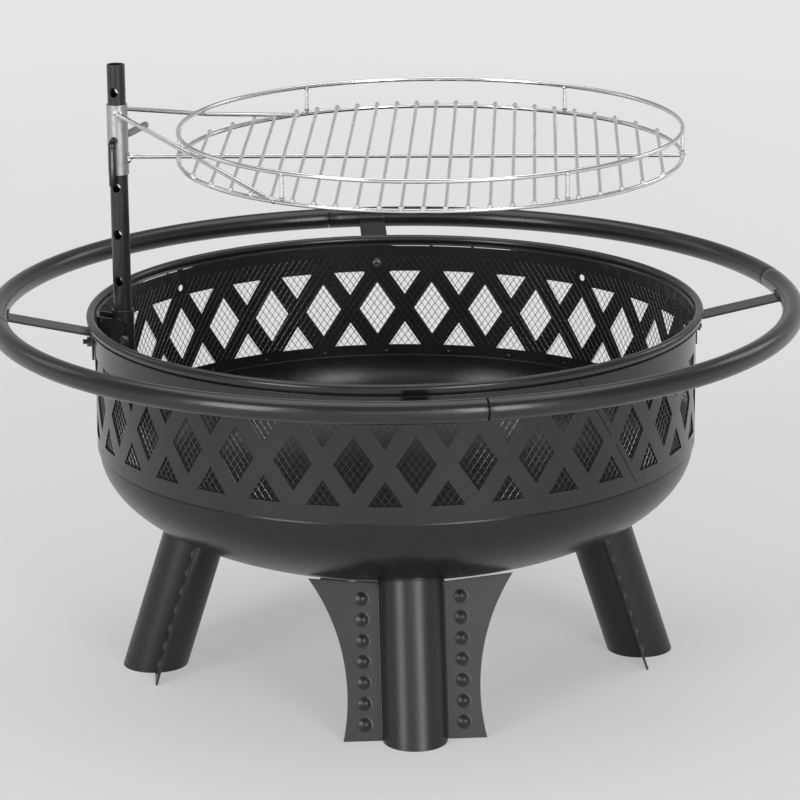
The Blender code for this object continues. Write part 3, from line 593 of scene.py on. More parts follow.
def noise(tree, where, scale, detail, roughness=0.5):
    """The value of a cloudy noise."""
    return add_node(tree, "ShaderNodeTexNoise",
                    {"Vector": where, "Scale": scale, "Detail": detail,
                     "Roughness": roughness}).outputs["Fac"]


def shaded(tree, colour, share):
    """A colour dimmed by a share that changes over the surface."""
    return add_node(tree, "ShaderNodeVectorMath", {0: colour, "Scale": share},
                    operation="SCALE").outputs[0]


def mixed(tree, share, colour, other):
    """A colour mixed with a share of another."""
    return add_node(tree, "ShaderNodeMix", {0: share, 6: colour, 7: other},
                    data_type="RGBA").outputs[2]


def socket_sort(value):
    """The sort of socket that a default value needs. A word is a sort that has no default."""
    if isinstance(value, tuple):
        return "Color" if len(value) == 4 else "Vector"
    return {int: "Int", float: "Float"}.get(type(value), value)


def new_group(name, kind, inputs, outputs):
    """Start a node group with named sockets, and return it with its input node's sockets."""
    tree = bpy.data.node_groups.new(name, kind)
    for label, sort in outputs.items():
        tree.interface.new_socket(label, in_out="OUTPUT", socket_type="NodeSocket" + sort)
    for label, value in inputs.items():
        sort = socket_sort(value)
        socket = tree.interface.new_socket(label, in_out="INPUT", socket_type="NodeSocket" + sort)
        if sort != value:
            socket.default_value = value
    return tree, tree.nodes.new("NodeGroupInput").outputs


def close_growth(tree, geometry, material):
    """End a geometry tree with real, joined geometry that has its material."""
    real = add_node(tree, "GeometryNodeRealizeInstances", {"Geometry": geometry})
    joined = add_node(tree, "GeometryNodeMergeByDistance",
                      {"Geometry": real.outputs[0], "Distance": 0.000005})
    painted = add_node(tree, "GeometryNodeSetMaterial",
                       {"Geometry": joined.outputs[0], "Material": material})
    add_node(tree, "NodeGroupOutput", {0: painted.outputs[0]})


def copies_round():
    """The tree that repeats a form round the pit's axis, in rows that may be staggered."""
    found = bpy.data.node_groups.get("copies_round_the_pit")
    if found:
        return found
    tree, given = new_group(
        "copies_round_the_pit", "GeometryNodeTree",
        {"Form": "Geometry", "Copies": 4, "Rows": 1, "Row height": 0.0, "Stagger": 0.0,
         "Start angle": 0.0, "Step angle": QUARTER, "Material": "Material"},
        {"Result": "Geometry"})
    count = maths(tree, "MULTIPLY", given["Copies"], given["Rows"])
    line = add_node(tree, "GeometryNodeMeshLine", {"Count": count, "Offset": (0.0, 0.0, 0.0)})
    index = add_node(tree, "GeometryNodeInputIndex").outputs[0]
    row = maths(tree, "FLOOR", maths(tree, "DIVIDE", maths(tree, "ADD", index, 0.5),
                                     given["Copies"]))
    height = maths(tree, "MULTIPLY", row, given["Row height"])
    lift = add_node(tree, "ShaderNodeCombineXYZ", {2: height})
    lifted = add_node(tree, "GeometryNodeSetPosition",
                      {"Geometry": line.outputs[0], "Offset": lift.outputs[0]})
    odd = maths(tree, "MULTIPLY", maths(tree, "MODULO", row, 2.0), given["Stagger"])
    steps = maths(tree, "ADD", index, odd)
    angle = maths(tree, "MULTIPLY_ADD", steps, given["Step angle"], given["Start angle"])
    turn = add_node(tree, "ShaderNodeCombineXYZ", {2: angle})
    placed = add_node(tree, "GeometryNodeInstanceOnPoints",
                      {"Points": lifted.outputs[0], "Instance": given["Form"],
                       "Rotation": turn.outputs[0]})
    close_growth(tree, placed.outputs[0], given["Material"])
    return tree


def copies_in_line():
    """The tree that repeats a form along a straight line."""
    found = bpy.data.node_groups.get("copies_in_line")
    if found:
        return found
    tree, given = new_group(
        "copies_in_line", "GeometryNodeTree",
        {"Form": "Geometry", "Copies": 7, "Pitch": (0.0, 0.0, 0.0), "Material": "Material"},
        {"Result": "Geometry"})
    line = add_node(tree, "GeometryNodeMeshLine", {"Count": given["Copies"],
                                                   "Offset": given["Pitch"]})
    placed = add_node(tree, "GeometryNodeInstanceOnPoints",
                      {"Points": line.outputs[0], "Instance": given["Form"]})
    close_growth(tree, placed.outputs[0], given["Material"])
    return tree


def rods_on_ring():
    """The tree that lays parallel rods across a ring, each as long as the ring is wide there."""
    found = bpy.data.node_groups.get("rods_on_a_ring")
    if found:
        return found
    tree, given = new_group(
        "rods_on_a_ring", "GeometryNodeTree",
        {"Form": "Geometry", "Rods": 23, "Pitch": 0.02, "Ring radius": 0.27, "Overhang": 0.004,
         "Wire radius": 0.002, "Weld radius": 0.003, "Material": "Material"},
        {"Result": "Geometry"})
    step = add_node(tree, "ShaderNodeCombineXYZ", {0: given["Pitch"]})
    half = maths(tree, "MULTIPLY", maths(tree, "SUBTRACT", given["Rods"], 1.0), -0.5)
    start = add_node(tree, "ShaderNodeCombineXYZ",
                     {0: maths(tree, "MULTIPLY", half, given["Pitch"])})
    line = add_node(tree, "GeometryNodeMeshLine",
                    {"Count": given["Rods"], "Start Location": start.outputs[0],
                     "Offset": step.outputs[0]})
    place = add_node(tree, "GeometryNodeInputPosition")
    across = add_node(tree, "ShaderNodeSeparateXYZ", {0: place.outputs[0]}).outputs[0]
    chord = maths(tree, "SQRT", maths(tree, "SUBTRACT",
                                      maths(tree, "MULTIPLY", given["Ring radius"],
                                            given["Ring radius"]),
                                      maths(tree, "MULTIPLY", across, across)))
    reach = maths(tree, "ADD", chord, given["Overhang"])
    rod = add_node(tree, "GeometryNodeMeshCylinder",
                   {"Vertices": 12, "Radius": given["Wire radius"], "Depth": 2.0})
    laid = add_node(tree, "GeometryNodeTransform",
                    {"Geometry": rod.outputs[0], "Rotation": (QUARTER, 0.0, 0.0)})
    size = add_node(tree, "ShaderNodeCombineXYZ", {0: 1.0, 1: reach, 2: 1.0})
    rods = add_node(tree, "GeometryNodeInstanceOnPoints",
                    {"Points": line.outputs[0], "Instance": laid.outputs[0],
                     "Scale": size.outputs[0]})
    nub = add_node(tree, "GeometryNodeMeshIcoSphere",
                   {"Radius": given["Weld radius"], "Subdivisions": 2})
    welds = []
    for sign in (-1.0, 1.0):
        offset = add_node(tree, "ShaderNodeCombineXYZ", {1: maths(tree, "MULTIPLY", chord, sign)})
        moved = add_node(tree, "GeometryNodeSetPosition",
                         {"Geometry": line.outputs[0], "Offset": offset.outputs[0]})
        welds.append(add_node(tree, "GeometryNodeInstanceOnPoints",
                              {"Points": moved.outputs[0], "Instance": nub.outputs[0],
                               "Scale": (1.0, 1.15, 0.7)}))
    both = add_node(tree, "GeometryNodeJoinGeometry")
    for node in (rods, *welds):
        tree.links.new(node.outputs[0], both.inputs[0])
    close_growth(tree, both.outputs[0], given["Material"])
    return tree


def grown(thing, tree, values, sharp=35.0):
    """Run a geometry tree on an object with named values, and keep the result as a plain mesh."""
    modifier = thing.modifiers.new(tree.name, "NODES")
    modifier.node_group = tree
    for item in tree.interface.items_tree:
        if item.in_out == "INPUT" and item.name in values:
            modifier[item.identifier] = values[item.name]
    return plain_mesh(thing, sharp)


def repeated(thing, copies, start=0.0, sharp=35.0, rows=None):
    """Repeat a piece evenly round the pit, in one row or in several."""
    values = {"Copies": copies, "Step angle": math.tau / copies, "Start angle": start}
    return grown(thing, copies_round(), {**values, **(rows or {})}, sharp)


# Finishes


def coat_group():
    """Shared look of a painted or plated sheet: mottled colour, dust, varied gloss, orange peel."""
    found = bpy.data.node_groups.get("sprayed_coat")
    if found:
        return found
    tree, given = new_group(
        "sprayed_coat", "ShaderNodeTree",
        {"Colour": (0.03, 0.03, 0.03, 1.0), "Dust colour": (0.2, 0.2, 0.2, 1.0), "Gloss": 0.4,
         "Gloss spread": 0.1, "Mottle": 0.2, "Dust": 0.3, "Peel scale": 420.0},
        {"Colour": "Color", "Roughness": "Float", "Height": "Float"})
    where = add_node(tree, "ShaderNodeTexCoord").outputs["Object"]
    cloud = noise(tree, where, 11.0, 5.0, 0.62)
    wipe = noise(tree, where, 38.0, 3.0, 0.55)
    grit = noise(tree, where, 1500.0, 2.0)
    peel = noise(tree, where, given["Peel scale"], 2.0, 0.45)
    specks = add_node(tree, "ShaderNodeTexVoronoi", {"Vector": where, "Scale": 130.0})
    size = noise(tree, where, 70.0, 1.0)
    reach = maths(tree, "MULTIPLY", maths(tree, "SUBTRACT", size, 0.52), 0.6)
    speck = ranged(tree, maths(tree, "SUBTRACT", specks.outputs["Distance"], reach),
                   0.0, 0.03, 1.0, 0.0)
    level = maths(tree, "MULTIPLY_ADD", maths(tree, "SUBTRACT", cloud, 0.5), given["Mottle"], 1.0)
    fine = maths(tree, "MULTIPLY_ADD", maths(tree, "SUBTRACT", grit, 0.5),
                 maths(tree, "MULTIPLY", given["Mottle"], 0.9), level)
    amount = maths(tree, "MULTIPLY", speck, given["Dust"])
    film = maths(tree, "MULTIPLY", maths(tree, "POWER", wipe, 3.0),
                 maths(tree, "MULTIPLY", given["Dust"], 0.25))
    dusty = maths(tree, "MINIMUM", maths(tree, "ADD", amount, film), 1.0)
    colour = mixed(tree, dusty, shaded(tree, given["Colour"], fine), given["Dust colour"])
    rough = maths(tree, "MULTIPLY_ADD", maths(tree, "SUBTRACT", wipe, 0.5),
                  given["Gloss spread"], given["Gloss"])
    rough = maths(tree, "MULTIPLY_ADD", amount, 0.3, rough)
    height = maths(tree, "MULTIPLY_ADD", grit, 0.35, peel)
    height = maths(tree, "MULTIPLY_ADD", amount, 0.6, height)
    add_node(tree, "NodeGroupOutput", {0: colour, 1: rough, 2: height})
    return tree


def streak_group():
    """Shared look of bare plated metal: drawn streaks, cloudy stains and pits."""
    found = bpy.data.node_groups.get("drawn_plating")
    if found:
        return found
    tree, given = new_group(
        "drawn_plating", "ShaderNodeTree",
        {"Colour": (0.6, 0.6, 0.6, 1.0), "Stain colour": (0.2, 0.2, 0.2, 1.0), "Gloss": 0.25,
         "Gloss spread": 0.2, "Stain": 0.3, "Streak": (900.0, 900.0, 60.0)},
        {"Colour": "Color", "Roughness": "Float", "Height": "Float"})
    where = add_node(tree, "ShaderNodeTexCoord").outputs["Object"]
    drawn = add_node(tree, "ShaderNodeVectorMath", {0: where, 1: given["Streak"]},
                     operation="MULTIPLY").outputs[0]
    streak = noise(tree, drawn, 1.0, 3.0, 0.6)
    patch = ranged(tree, noise(tree, where, 90.0, 6.0, 0.68), 0.50, 0.68)
    stain = maths(tree, "MULTIPLY", patch, given["Stain"])
    shade = shaded(tree, given["Colour"], maths(tree, "MULTIPLY_ADD", streak, 0.30, 0.85))
    colour = mixed(tree, stain, shade, given["Stain colour"])
    rough = maths(tree, "MULTIPLY_ADD", streak, given["Gloss spread"], given["Gloss"])
    rough = maths(tree, "MULTIPLY_ADD", stain, 0.35, rough)
    height = maths(tree, "MULTIPLY_ADD", patch, -0.4, streak)
    add_node(tree, "NodeGroupOutput", {0: colour, 1: rough, 2: height})
    return tree


def finish_named(name, group, values, metallic=0.0, bump=0.1, coat=0.0):
    """A Principled material fed by one of the shared groups."""
    found = bpy.data.materials.get(name)
    if found:
        return found
    material = bpy.data.materials.new(name)
    material.use_nodes = True
    tree = material.node_tree
    shader = tree.nodes["Principled BSDF"]
    look = add_node(tree, "ShaderNodeGroup", node_tree=group)
    for key, value in values.items():
        look.inputs[key].default_value = value
    tree.links.new(look.outputs["Colour"], shader.inputs["Base Color"])
    tree.links.new(look.outputs["Roughness"], shader.inputs["Roughness"])
    relief = add_node(tree, "ShaderNodeBump", {"Height": look.outputs["Height"],
                                               "Strength": bump, "Distance": 0.0002})
    tree.links.new(relief.outputs[0], shader.inputs["Normal"])
    shader.inputs["Metallic"].default_value = metallic
    shader.inputs["Coat Weight"].default_value = coat
    return material


def sprayed(name, colour, gloss, spread, mottle, dust, peel, **look):
    """A finish of sprayed or dipped coat."""
    values = {"Colour": (*colour, 1.0), "Dust colour": (0.12, 0.12, 0.12, 1.0), "Gloss": gloss,
              "Gloss spread": spread, "Mottle": mottle, "Dust": dust, "Peel scale": peel}
    return finish_named(name, coat_group(), values, **look)


def plated(name, colour, stain_colour, gloss, spread, stain, streak, **look):
    """A finish of bare or plated metal."""
    values = {"Colour": (*colour, 1.0), "Stain colour": (*stain_colour, 1.0), "Gloss": gloss,
              "Gloss spread": spread, "Stain": stain, "Streak": streak}
    return finish_named(name, streak_group(), values, **look)


def heat_paint():
    """Satin heat-resistant paint of the band, the rim, the ring, its brackets and the post."""
    return sprayed("heat_resistant_paint", settings().finish.paint, gloss=0.27, spread=0.10,
                   mottle=0.4, dust=0.10, peel=520.0, bump=0.14, coat=0.15)


def leg_paint():
    """The same paint, sprayed rougher on the legs and their wings."""
    return sprayed("leg_paint", settings().finish.paint, gloss=0.35, spread=0.10, mottle=0.4,
                   dust=0.10, peel=520.0, bump=0.14)


def bowl_paint():
    """Duller paint of the bowl."""
    material = sprayed("bowl_paint", settings().finish.bowl, gloss=0.27, spread=0.12, mottle=0.5,
                       dust=0.12, peel=420.0, bump=0.16)
    shader = material.node_tree.nodes["Principled BSDF"]
    shader.inputs["Specular IOR Level"].default_value = 0.40
    return material


def mesh_coat():
    """Black coat of the expanded mesh."""
    return sprayed("mesh_coat", settings().finish.mesh, gloss=0.20, spread=0.15, mottle=0.4,
                   dust=0.05, peel=900.0, bump=0.1, metallic=0.65)


def bolt_steel():
    """Blackened bolts and nuts."""
    return plated("blackened_steel", (0.10, 0.10, 0.105), (0.15, 0.14, 0.13), gloss=0.10,
                  spread=0.15, stain=0.3, streak=(700.0, 700.0, 700.0), metallic=0.6, bump=0.1)


def zinc_plate():
    """Zinc plate of the sleeve."""
    return plated("zinc_plate_finish", settings().finish.zinc, (0.30, 0.30, 0.30), gloss=0.26,
                  spread=0.22, stain=0.55, streak=(900.0, 900.0, 90.0), metallic=1.0, bump=0.18)


def bright_wire():
    """Bright plating of the grate's wires."""
    return plated("bright_wire_plating", settings().finish.chrome, (0.42, 0.42, 0.42), gloss=0.10,
                  spread=0.16, stain=0.35, streak=(260.0, 260.0, 260.0), metallic=1.0, bump=0.12)


def pin_coat():
    """Dipped gloss coat of the pin, grey and metallic along its tail, with a painted highlight streak
    down its handle.
    """
    found = bpy.data.materials.get("dipped_pin_coat")
    if found:
        return found
    material = sprayed("dipped_pin_coat", settings().finish.gloss, gloss=0.07, spread=0.03,
                       mottle=0.3, dust=0.0, peel=300.0, bump=0.02, coat=0.2)
    tree = material.node_tree
    shader = tree.nodes["Principled BSDF"]
    # Where the attribute is set, the coat turns a lighter metallic grey: along the tail, and in the
    # painted highlight streak on the handle.
    grey_and_highlight_share = add_node(tree, "ShaderNodeAttribute", attribute_name="grey_tail_and_painted_highlight").outputs["Fac"]
    colour = shader.inputs["Base Color"].links[0].from_socket
    rough = shader.inputs["Roughness"].links[0].from_socket
    lightened_colour = mixed(tree, grey_and_highlight_share, colour, (0.30, 0.30, 0.30, 1.0))
    tree.links.new(lightened_colour, shader.inputs["Base Color"])
    tree.links.new(maths(tree, "MULTIPLY_ADD", grey_and_highlight_share, 0.25, rough), shader.inputs["Roughness"])
    tree.links.new(maths(tree, "MULTIPLY", grey_and_highlight_share, 0.85), shader.inputs["Metallic"])
    tree.links.new(maths(tree, "MULTIPLY_ADD", grey_and_highlight_share, -0.2, 0.2), shader.inputs["Coat Weight"])
    return material


# Bowl and band


def bowl_height(radius, sizes):
    """Height of the dish's outside at a radius."""
    depth = sizes.shoulder - bowl_low.z
    share = min(max(radius, 0.0) / BOWL_RADIUS, 1.0)
    return sizes.shoulder - depth * (1.0 - share ** sizes.fullness) ** (1 / sizes.fullness)


def bowl_line(sizes, extra=0.0):
    """The dish's outer line from its wall to its middle, moved outward by extra."""
    depth = sizes.shoulder - bowl_low.z
    power = sizes.fullness
    line = []
    for index in range(1, sizes.rings + 1):
        angle = QUARTER * index / sizes.rings
        reach = BOWL_RADIUS * math.cos(angle) ** (2 / power) if index < sizes.rings else 0.0
        height = sizes.shoulder - depth * math.sin(angle) ** (2 / power)
        slope = (reach / BOWL_RADIUS) ** (power - 1) / BOWL_RADIUS
        fall = ((sizes.shoulder - height) / depth) ** (power - 1) / depth
        length = math.hypot(slope, fall)
        line.append((max(reach + extra * slope / length, 0.0), height - extra * fall / length))
    return line


def build_bowl():
    """The pressed bowl, with a groove where it goes into the band."""
    sizes = settings().bowl
    inner = BOWL_RADIUS - sizes.sheet
    top = bowl_high.z - sizes.overlap
    # From the dish up: the groove below the hem, the wall's upper edge, and the dish's inside
    groove = [(BOWL_RADIUS, band_low.z - 0.0026), (BOWL_RADIUS - sizes.groove, band_low.z - 0.0014),
              (BOWL_RADIUS - sizes.groove, band_low.z + 0.0010), (BOWL_RADIUS, band_low.z + 0.0022)]
    edge = [(BOWL_RADIUS, top - 0.0004), (BOWL_RADIUS - 0.0004, top), (inner + 0.0004, top),
            (inner, top - 0.0004), (inner, sizes.shoulder)]
    dish = [point for point in bowl_line(sizes) if point[1] < band_low.z - 0.0030]
    profile = dish[::-1] + groove + edge + bowl_line(sizes, -sizes.sheet)
    bowl = turned_piece("pressed_bowl", profile, sizes.steps)
    hand_over(bowl, "stand", "heat_paint_black", bowl_paint(), "fire_bowl")


def cut_plane(work, faces, point, normal):
    """Cut some faces, with their edges and corners, along a plane."""
    geometry = list(faces)
    geometry += list({edge for face in faces for edge in face.edges})
    geometry += list({vertex for face in faces for vertex in face.verts})
    bmesh.ops.bisect_plane(work, geom=geometry, dist=1e-7, plane_co=point, plane_no=normal)


def cut(work, faces, point, normal):
    """Cut some faces of a flat sheet along a line."""
    cut_plane(work, faces, (*point, 0.0), (*normal, 0.0))


def faces_within(work, low, high):
    """Faces whose middle lies between two corners of the flat sheet."""
    found = []
    for face in work.faces:
        middle = face.calc_center_median()
        if low[0] <= middle.x <= high[0] and low[1] <= middle.y <= high[1]:
            found.append(face)
    return found


def band_sector(sizes):
    """One tab's share of the band: a flat sheet cut to its strips, then bent round the pit."""
    width = math.tau * BAND_RADIUS / sizes.tabs
    pitch = math.tau * BAND_RADIUS / sizes.diamonds
    middle = band_high.z - sizes.slit - sizes.centre_drop
    brim = band_high.z + sizes.lift
    top = brim - sizes.slit
    low = middle - sizes.lattice_height / 2
    high = middle + sizes.lattice_height / 2
    slope = math.tan(sizes.strip_slope)
    level = sizes.strip_width / math.sin(sizes.strip_slope)
    hole_radius = sizes.hole_width / 2
    work = bmesh.new()
    skin(work, [[(-width / 2, band_low.z, 0), (width / 2, band_low.z, 0)],
                [(-width / 2, brim, 0), (width / 2, brim, 0)]], wrap=False)
    columns = 32
    for index in range(1, columns):
        cut(work, work.faces, (width * (index / columns - 0.5), 0), (1, 0))
    for height in (low, high, top):
        cut(work, work.faces, (0, height), (0, 1))
    count = sizes.diamonds // sizes.tabs
    for index in range(-count, count + 1):
        for side in (-level / 2, level / 2):
            for lean in (-1.0, 1.0):
                faces = faces_within(work, (-width, low), (width, high))
                point = ((index + 0.5) * pitch + side, middle)
                cut(work, faces, point, (slope, lean))
    hole_sides = 16
    for index in range(hole_sides):
        angle = math.tau * index / hole_sides
        reach = 3 * hole_radius
        faces = faces_within(work, (-reach, BOLT_HEIGHT - reach), (reach, BOLT_HEIGHT + reach))
        direction = (math.cos(angle), math.sin(angle))
        point = (direction[0] * hole_radius, BOLT_HEIGHT + direction[1] * hole_radius)
        cut(work, faces, point, direction)
    for side in (-1, 1):
        faces = faces_within(work, (-width, top), (width, brim))
        cut(work, faces, (side * sizes.tab_width / 2, 0), (1, 0))
    # Faces in an opening, in the bolt hole or in the slit go, and what is left is bent round
    gone = []
    for face in work.faces:
        spot = face.calc_center_median()
        strip = False
        for lean in (-1.0, 1.0):
            shift = (spot.x + lean * (spot.y - middle) / slope) / pitch - 0.5
            strip = strip or abs(shift - round(shift)) * pitch < level / 2
        opening = low < spot.y < high and not strip
        hole = math.hypot(spot.x, spot.y - BOLT_HEIGHT) < hole_radius * 0.99
        slit = spot.y > top and abs(spot.x) > sizes.tab_width / 2
        if opening or hole or slit:
            gone.append(face)
    bmesh.ops.delete(work, geom=gone, context="FACES")
    for vertex in work.verts:
        vertex.co = polar(BAND_RADIUS, vertex.co.x / BAND_RADIUS, vertex.co.y)
    return new_piece("cross_weave_sheet", work, outward=False)


def cut_band_seam(thing, sizes):
    """Open the slanting seam where the band's two ends meet, with a few tack welds left in it."""
    work = bmesh.new()
    work.from_mesh(thing.data)
    middle = band_high.z - sizes.slit - sizes.centre_drop
    slope = math.tan(sizes.strip_slope)
    start = sizes.seam_angle
    along = Vector((-math.sin(start), math.cos(start), 0.0))
    centre = polar(BAND_RADIUS, start, middle)
    normal = (along * slope + Vector((0, 0, 1))).normalized()

    def near(face):
        spot = face.calc_center_median() - centre
        return spot.dot(centre) > -0.15 * BAND_RADIUS and abs(spot.dot(normal)) < 0.012

    for side in (-0.5, 0.5):
        faces = [face for face in work.faces if near(face)]
        cut_plane(work, faces, centre + normal * side * sizes.seam_gap, normal)
    gone = []
    tacks = (0.030, -0.002, -0.022)
    tack_half = 0.0025
    shut_below = -0.058
    for face in work.faces:
        spot = face.calc_center_median() - centre
        if not near(face) or abs(spot.dot(normal)) > sizes.seam_gap / 2:
            continue
        if any(abs(spot.z - tack) < tack_half for tack in tacks) or spot.z < shut_below:
            continue
        gone.append(face)
    bmesh.ops.delete(work, geom=gone, context="FACES")
    work.to_mesh(thing.data)
    work.free()


def close_slit(thing, sizes):
    """Let the slit below the rim stand open only along its open spans."""
    edge = band_high.z + sizes.lift - sizes.slit
    first_start, first_end, second_start, second_end = sizes.open_spans
    spans = ((first_start, first_end), (second_start, second_end))
    closed_share = 0.85
    opening_degrees = 2.0
    for vertex in thing.data.vertices:
        if abs(vertex.co.z - edge) > 1e-5:
            continue
        angle = math.degrees(math.atan2(vertex.co.y, vertex.co.x)) % 360.0
        inside = max(min(angle - start, end - angle) for start, end in spans)
        opened = min(max(inside / opening_degrees, 0.0), 1.0)
        vertex.co.z += sizes.slit * closed_share * (1.0 - opened)


def slit_tacks(sizes):
    """Small tack welds along the slit, between the band and the rim."""
    work = bmesh.new()
    height = band_high.z + sizes.lift - sizes.slit / 2
    blob(work, Vector((BAND_RADIUS - sizes.sheet + 0.0003, 0.0, height)), (0.0009, 0.0019, 0.0010))
    tacks = new_piece("slit_tacks", work)
    return repeated(tacks, sizes.tacks, FIRST_TACK)


def band_spots(sizes):
    """The marks of the spot welds that hold the band to the bowl, outside and inside."""
    # Distance from the mark's middle, and height over the sheet: a dent outside, a nub inside
    outside = [(0.0, -0.0004), (0.0030, -0.0004), (0.0029, 0.00010), (0.0024, 0.00024),
               (0.0016, 0.00005), (0.0, -0.00005)]
    inside = [(0.0, -0.0006), (0.0027, -0.0006), (0.0026, 0.0002), (0.0021, 0.0007),
              (0.0012, 0.0010), (0.0, 0.0011)]
    marks = []
    for reach, turn, profile in ((BAND_RADIUS, QUARTER, outside),
                                 (BAND_RADIUS - sizes.sheet, -QUARTER, inside)):
        place = Matrix.Translation((reach, 0.0, sizes.spot_height)) @ Matrix.Rotation(turn, 4, "Y")
        mark = turned_piece("band_spots", profile, 16, place=place)
        marks.append(repeated(mark, sizes.spots, FIRST_SPOT))
    return combined("band_spots", marks)


def build_band():
    """The cross-weave band."""
    sizes = settings().band
    band = band_sector(sizes)
    repeated(band, sizes.tabs)
    cut_band_seam(band, sizes)
    close_slit(band, sizes)
    thickness = band.modifiers.new("thickness", "SOLIDIFY")
    thickness.thickness = sizes.sheet
    thickness.offset = -1.0
    plain_mesh(band)
    soft = band.modifiers.new("edges", "BEVEL")
    soft.width = 0.0002
    soft.segments = 1
    soft.limit_method = "ANGLE"
    soft.angle_limit = math.radians(60)
    plain_mesh(band)
    bead = [Vector((BAND_RADIUS - sizes.hem, band_low.z + sizes.hem))
            + polar(sizes.hem, math.tau * index / 10).xy for index in range(10)]
    hem = turned_piece("band_hem", bead, 256, closed=True)
    band = combined("cross_weave_sheet", [band, hem, slit_tacks(sizes), band_spots(sizes)])
    hand_over(band, "stand", "heat_paint_black", heat_paint(), "cross_weave_band")


def build_liner():
    """The expanded mesh behind the band, cut clear of the bolts and holes."""
    sizes = settings().liner
    low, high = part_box("mesh_liner")
    band = settings().band
    middle = high.x - LINER_SHEET / 2
    cell = math.tau * middle / sizes.cells
    rise = sizes.cell_height / 2
    rows = int((sizes.top - low.z) / rise)
    strand = sizes.strand / 2
    depth = strand * 0.8
    work = bmesh.new()
    stations = [(-cell / 2, rise), (0.0, 0.0), (cell / 2, rise)]
    lines = []
    for across, up in stations:
        base = Vector((middle, across, low.z + strand + up))
        lean = Vector((0.0, 0.0, strand)) if across == 0.0 else Vector((0.0, 0.0, strand * 1.3))
        lines.append([base + lean, base + Vector((depth, 0, 0)), base - lean,
                      base - Vector((depth, 0, 0))])
    closed_skin(work, lines)
    liner = new_piece("expanded_mesh", work, sharp=30.0)
    repeated(liner, sizes.cells, sharp=30.0,
             rows={"Rows": rows, "Row height": rise, "Stagger": 0.5})
    work = bmesh.new()
    work.from_mesh(liner.data)
    centres = [polar(middle, math.tau * index / band.tabs, BOLT_HEIGHT)
               for index in range(band.tabs)]
    gone = [vertex for vertex in work.verts
            if vertex.co.z > BOLT_HEIGHT - 2 * sizes.bolt_clearance
            and min((vertex.co - centre).length for centre in centres) < sizes.bolt_clearance]
    bmesh.ops.delete(work, geom=gone, context="VERTS")
    open_edges = [edge for edge in work.edges if edge.is_boundary]
    bmesh.ops.holes_fill(work, edges=open_edges, sides=0)
    work.to_mesh(liner.data)
    work.free()
    hand_over(liner, "stand", "mesh_black", mesh_coat(), "mesh_liner")


def build_rim():
    """The rolled rim: a bead over a lip that hangs outside the band."""
    bead = 0.005
    centre_radius = RIM_RADIUS - bead
    centre_height = rim_high.z - bead
    profile = []
    for index in range(28):
        angle = math.radians(-52.0 + 284.0 * index / 27)
        profile.append((centre_radius + bead * math.cos(angle),
                        centre_height + bead * math.sin(angle)))
    # From the inside of the bead, under it across the band's edge, to the lip's rounded foot
    inner = BAND_RADIUS - settings().band.sheet
    seat = band_high.z + settings().band.lift + 0.0001
    lip = BAND_RADIUS + 0.0057
    profile += [(inner, seat + 0.0004), (inner + 0.0003, seat), (BAND_RADIUS + 0.0004, seat),
                (lip - 0.0012, rim_low.z), (lip - 0.0004, rim_low.z),
                (lip - 0.0001, rim_low.z + 0.0001), (lip, rim_low.z + 0.0006),
                (lip - 0.0001, rim_low.z + 0.0010), (lip - 0.0005, rim_low.z + 0.0013),
                (lip - 0.0016, rim_low.z + 0.0016)]
    rim = turned_piece("rolled_rim", profile, 256, closed=True, sharp=50.0)
    hand_over(rim, "stand", "heat_paint_black", heat_paint(), "rim_ring")


# Ring, brackets and bolts


def seam_angles():
    """Start and end angle of each ring tube, whose neck is pushed on into the next tube."""
    starts = [tube_start(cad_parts["ring_tube_" + name]) for name in RING_TUBES]
    ends = starts[1:] + starts[:1]
    return [(start, start + (end - start) % math.tau) for start, end in zip(starts, ends)]


def tube_start(node):
    """Angle at which a ring tube begins, just after the widest empty stretch of the circle."""
    angles = sorted(math.atan2(vertex.co.y, vertex.co.x) % math.tau for vertex in node.data.vertices)
    gaps = [((angles[(index + 1) % len(angles)] - angle) % math.tau, index)
            for index, angle in enumerate(angles)]
    return angles[(max(gaps)[1] + 1) % len(angles)]


def build_ring():
    """The handrail ring's four bent tubes, each with its neck inside the next."""
    sizes = settings().ring
    half_gap = sizes.seam_gap / 2 / RING_RADIUS
    neck = NECK_LENGTH / RING_RADIUS
    for name, (start, end) in zip(RING_TUBES, seam_angles()):
        work = bmesh.new()
        body = level_arc(RING_RADIUS, start + half_gap, end - half_gap, RING_HEIGHT)
        sweep(work, body, RING_TUBE_RADIUS, 40, edge=sizes.edge)
        inside = level_arc(RING_RADIUS, end - neck, end + neck, RING_HEIGHT)
        sweep(work, inside, RING_TUBE_RADIUS - sizes.neck_inset, 32)
        tube = new_piece("handrail_" + name, work)
        hand_over(tube, "stand", "heat_paint_black", heat_paint(), "ring_tube_" + name)


def strip_piece(name, line, width, thickness, edge=0.0004):
    """A flat strip bent along a line of distance and height, as thick as its plate."""
    work = bmesh.new()
    half = width / 2
    sections = []
    for index, point in enumerate(line):
        before = Vector(line[max(index - 1, 0)])
        after = Vector(line[min(index + 1, len(line) - 1)])
        along = (after - before).normalized()
        normal = Vector((-along.y, along.x))
        near = Vector(point)
        far = near + normal * thickness
        inset = normal * edge
        sections.append([(near.x, -half + edge, near.y), (near.x, half - edge, near.y),
                         (near.x + inset.x, half, near.y + inset.y),
                         (far.x - inset.x, half, far.y - inset.y),
                         (far.x, half - edge, far.y), (far.x, -half + edge, far.y),
                         (far.x - inset.x, -half, far.y - inset.y),
                         (near.x + inset.x, -half, near.y + inset.y)])
    closed_skin(work, sections)
    return new_piece(name, work, sharp=40.0)


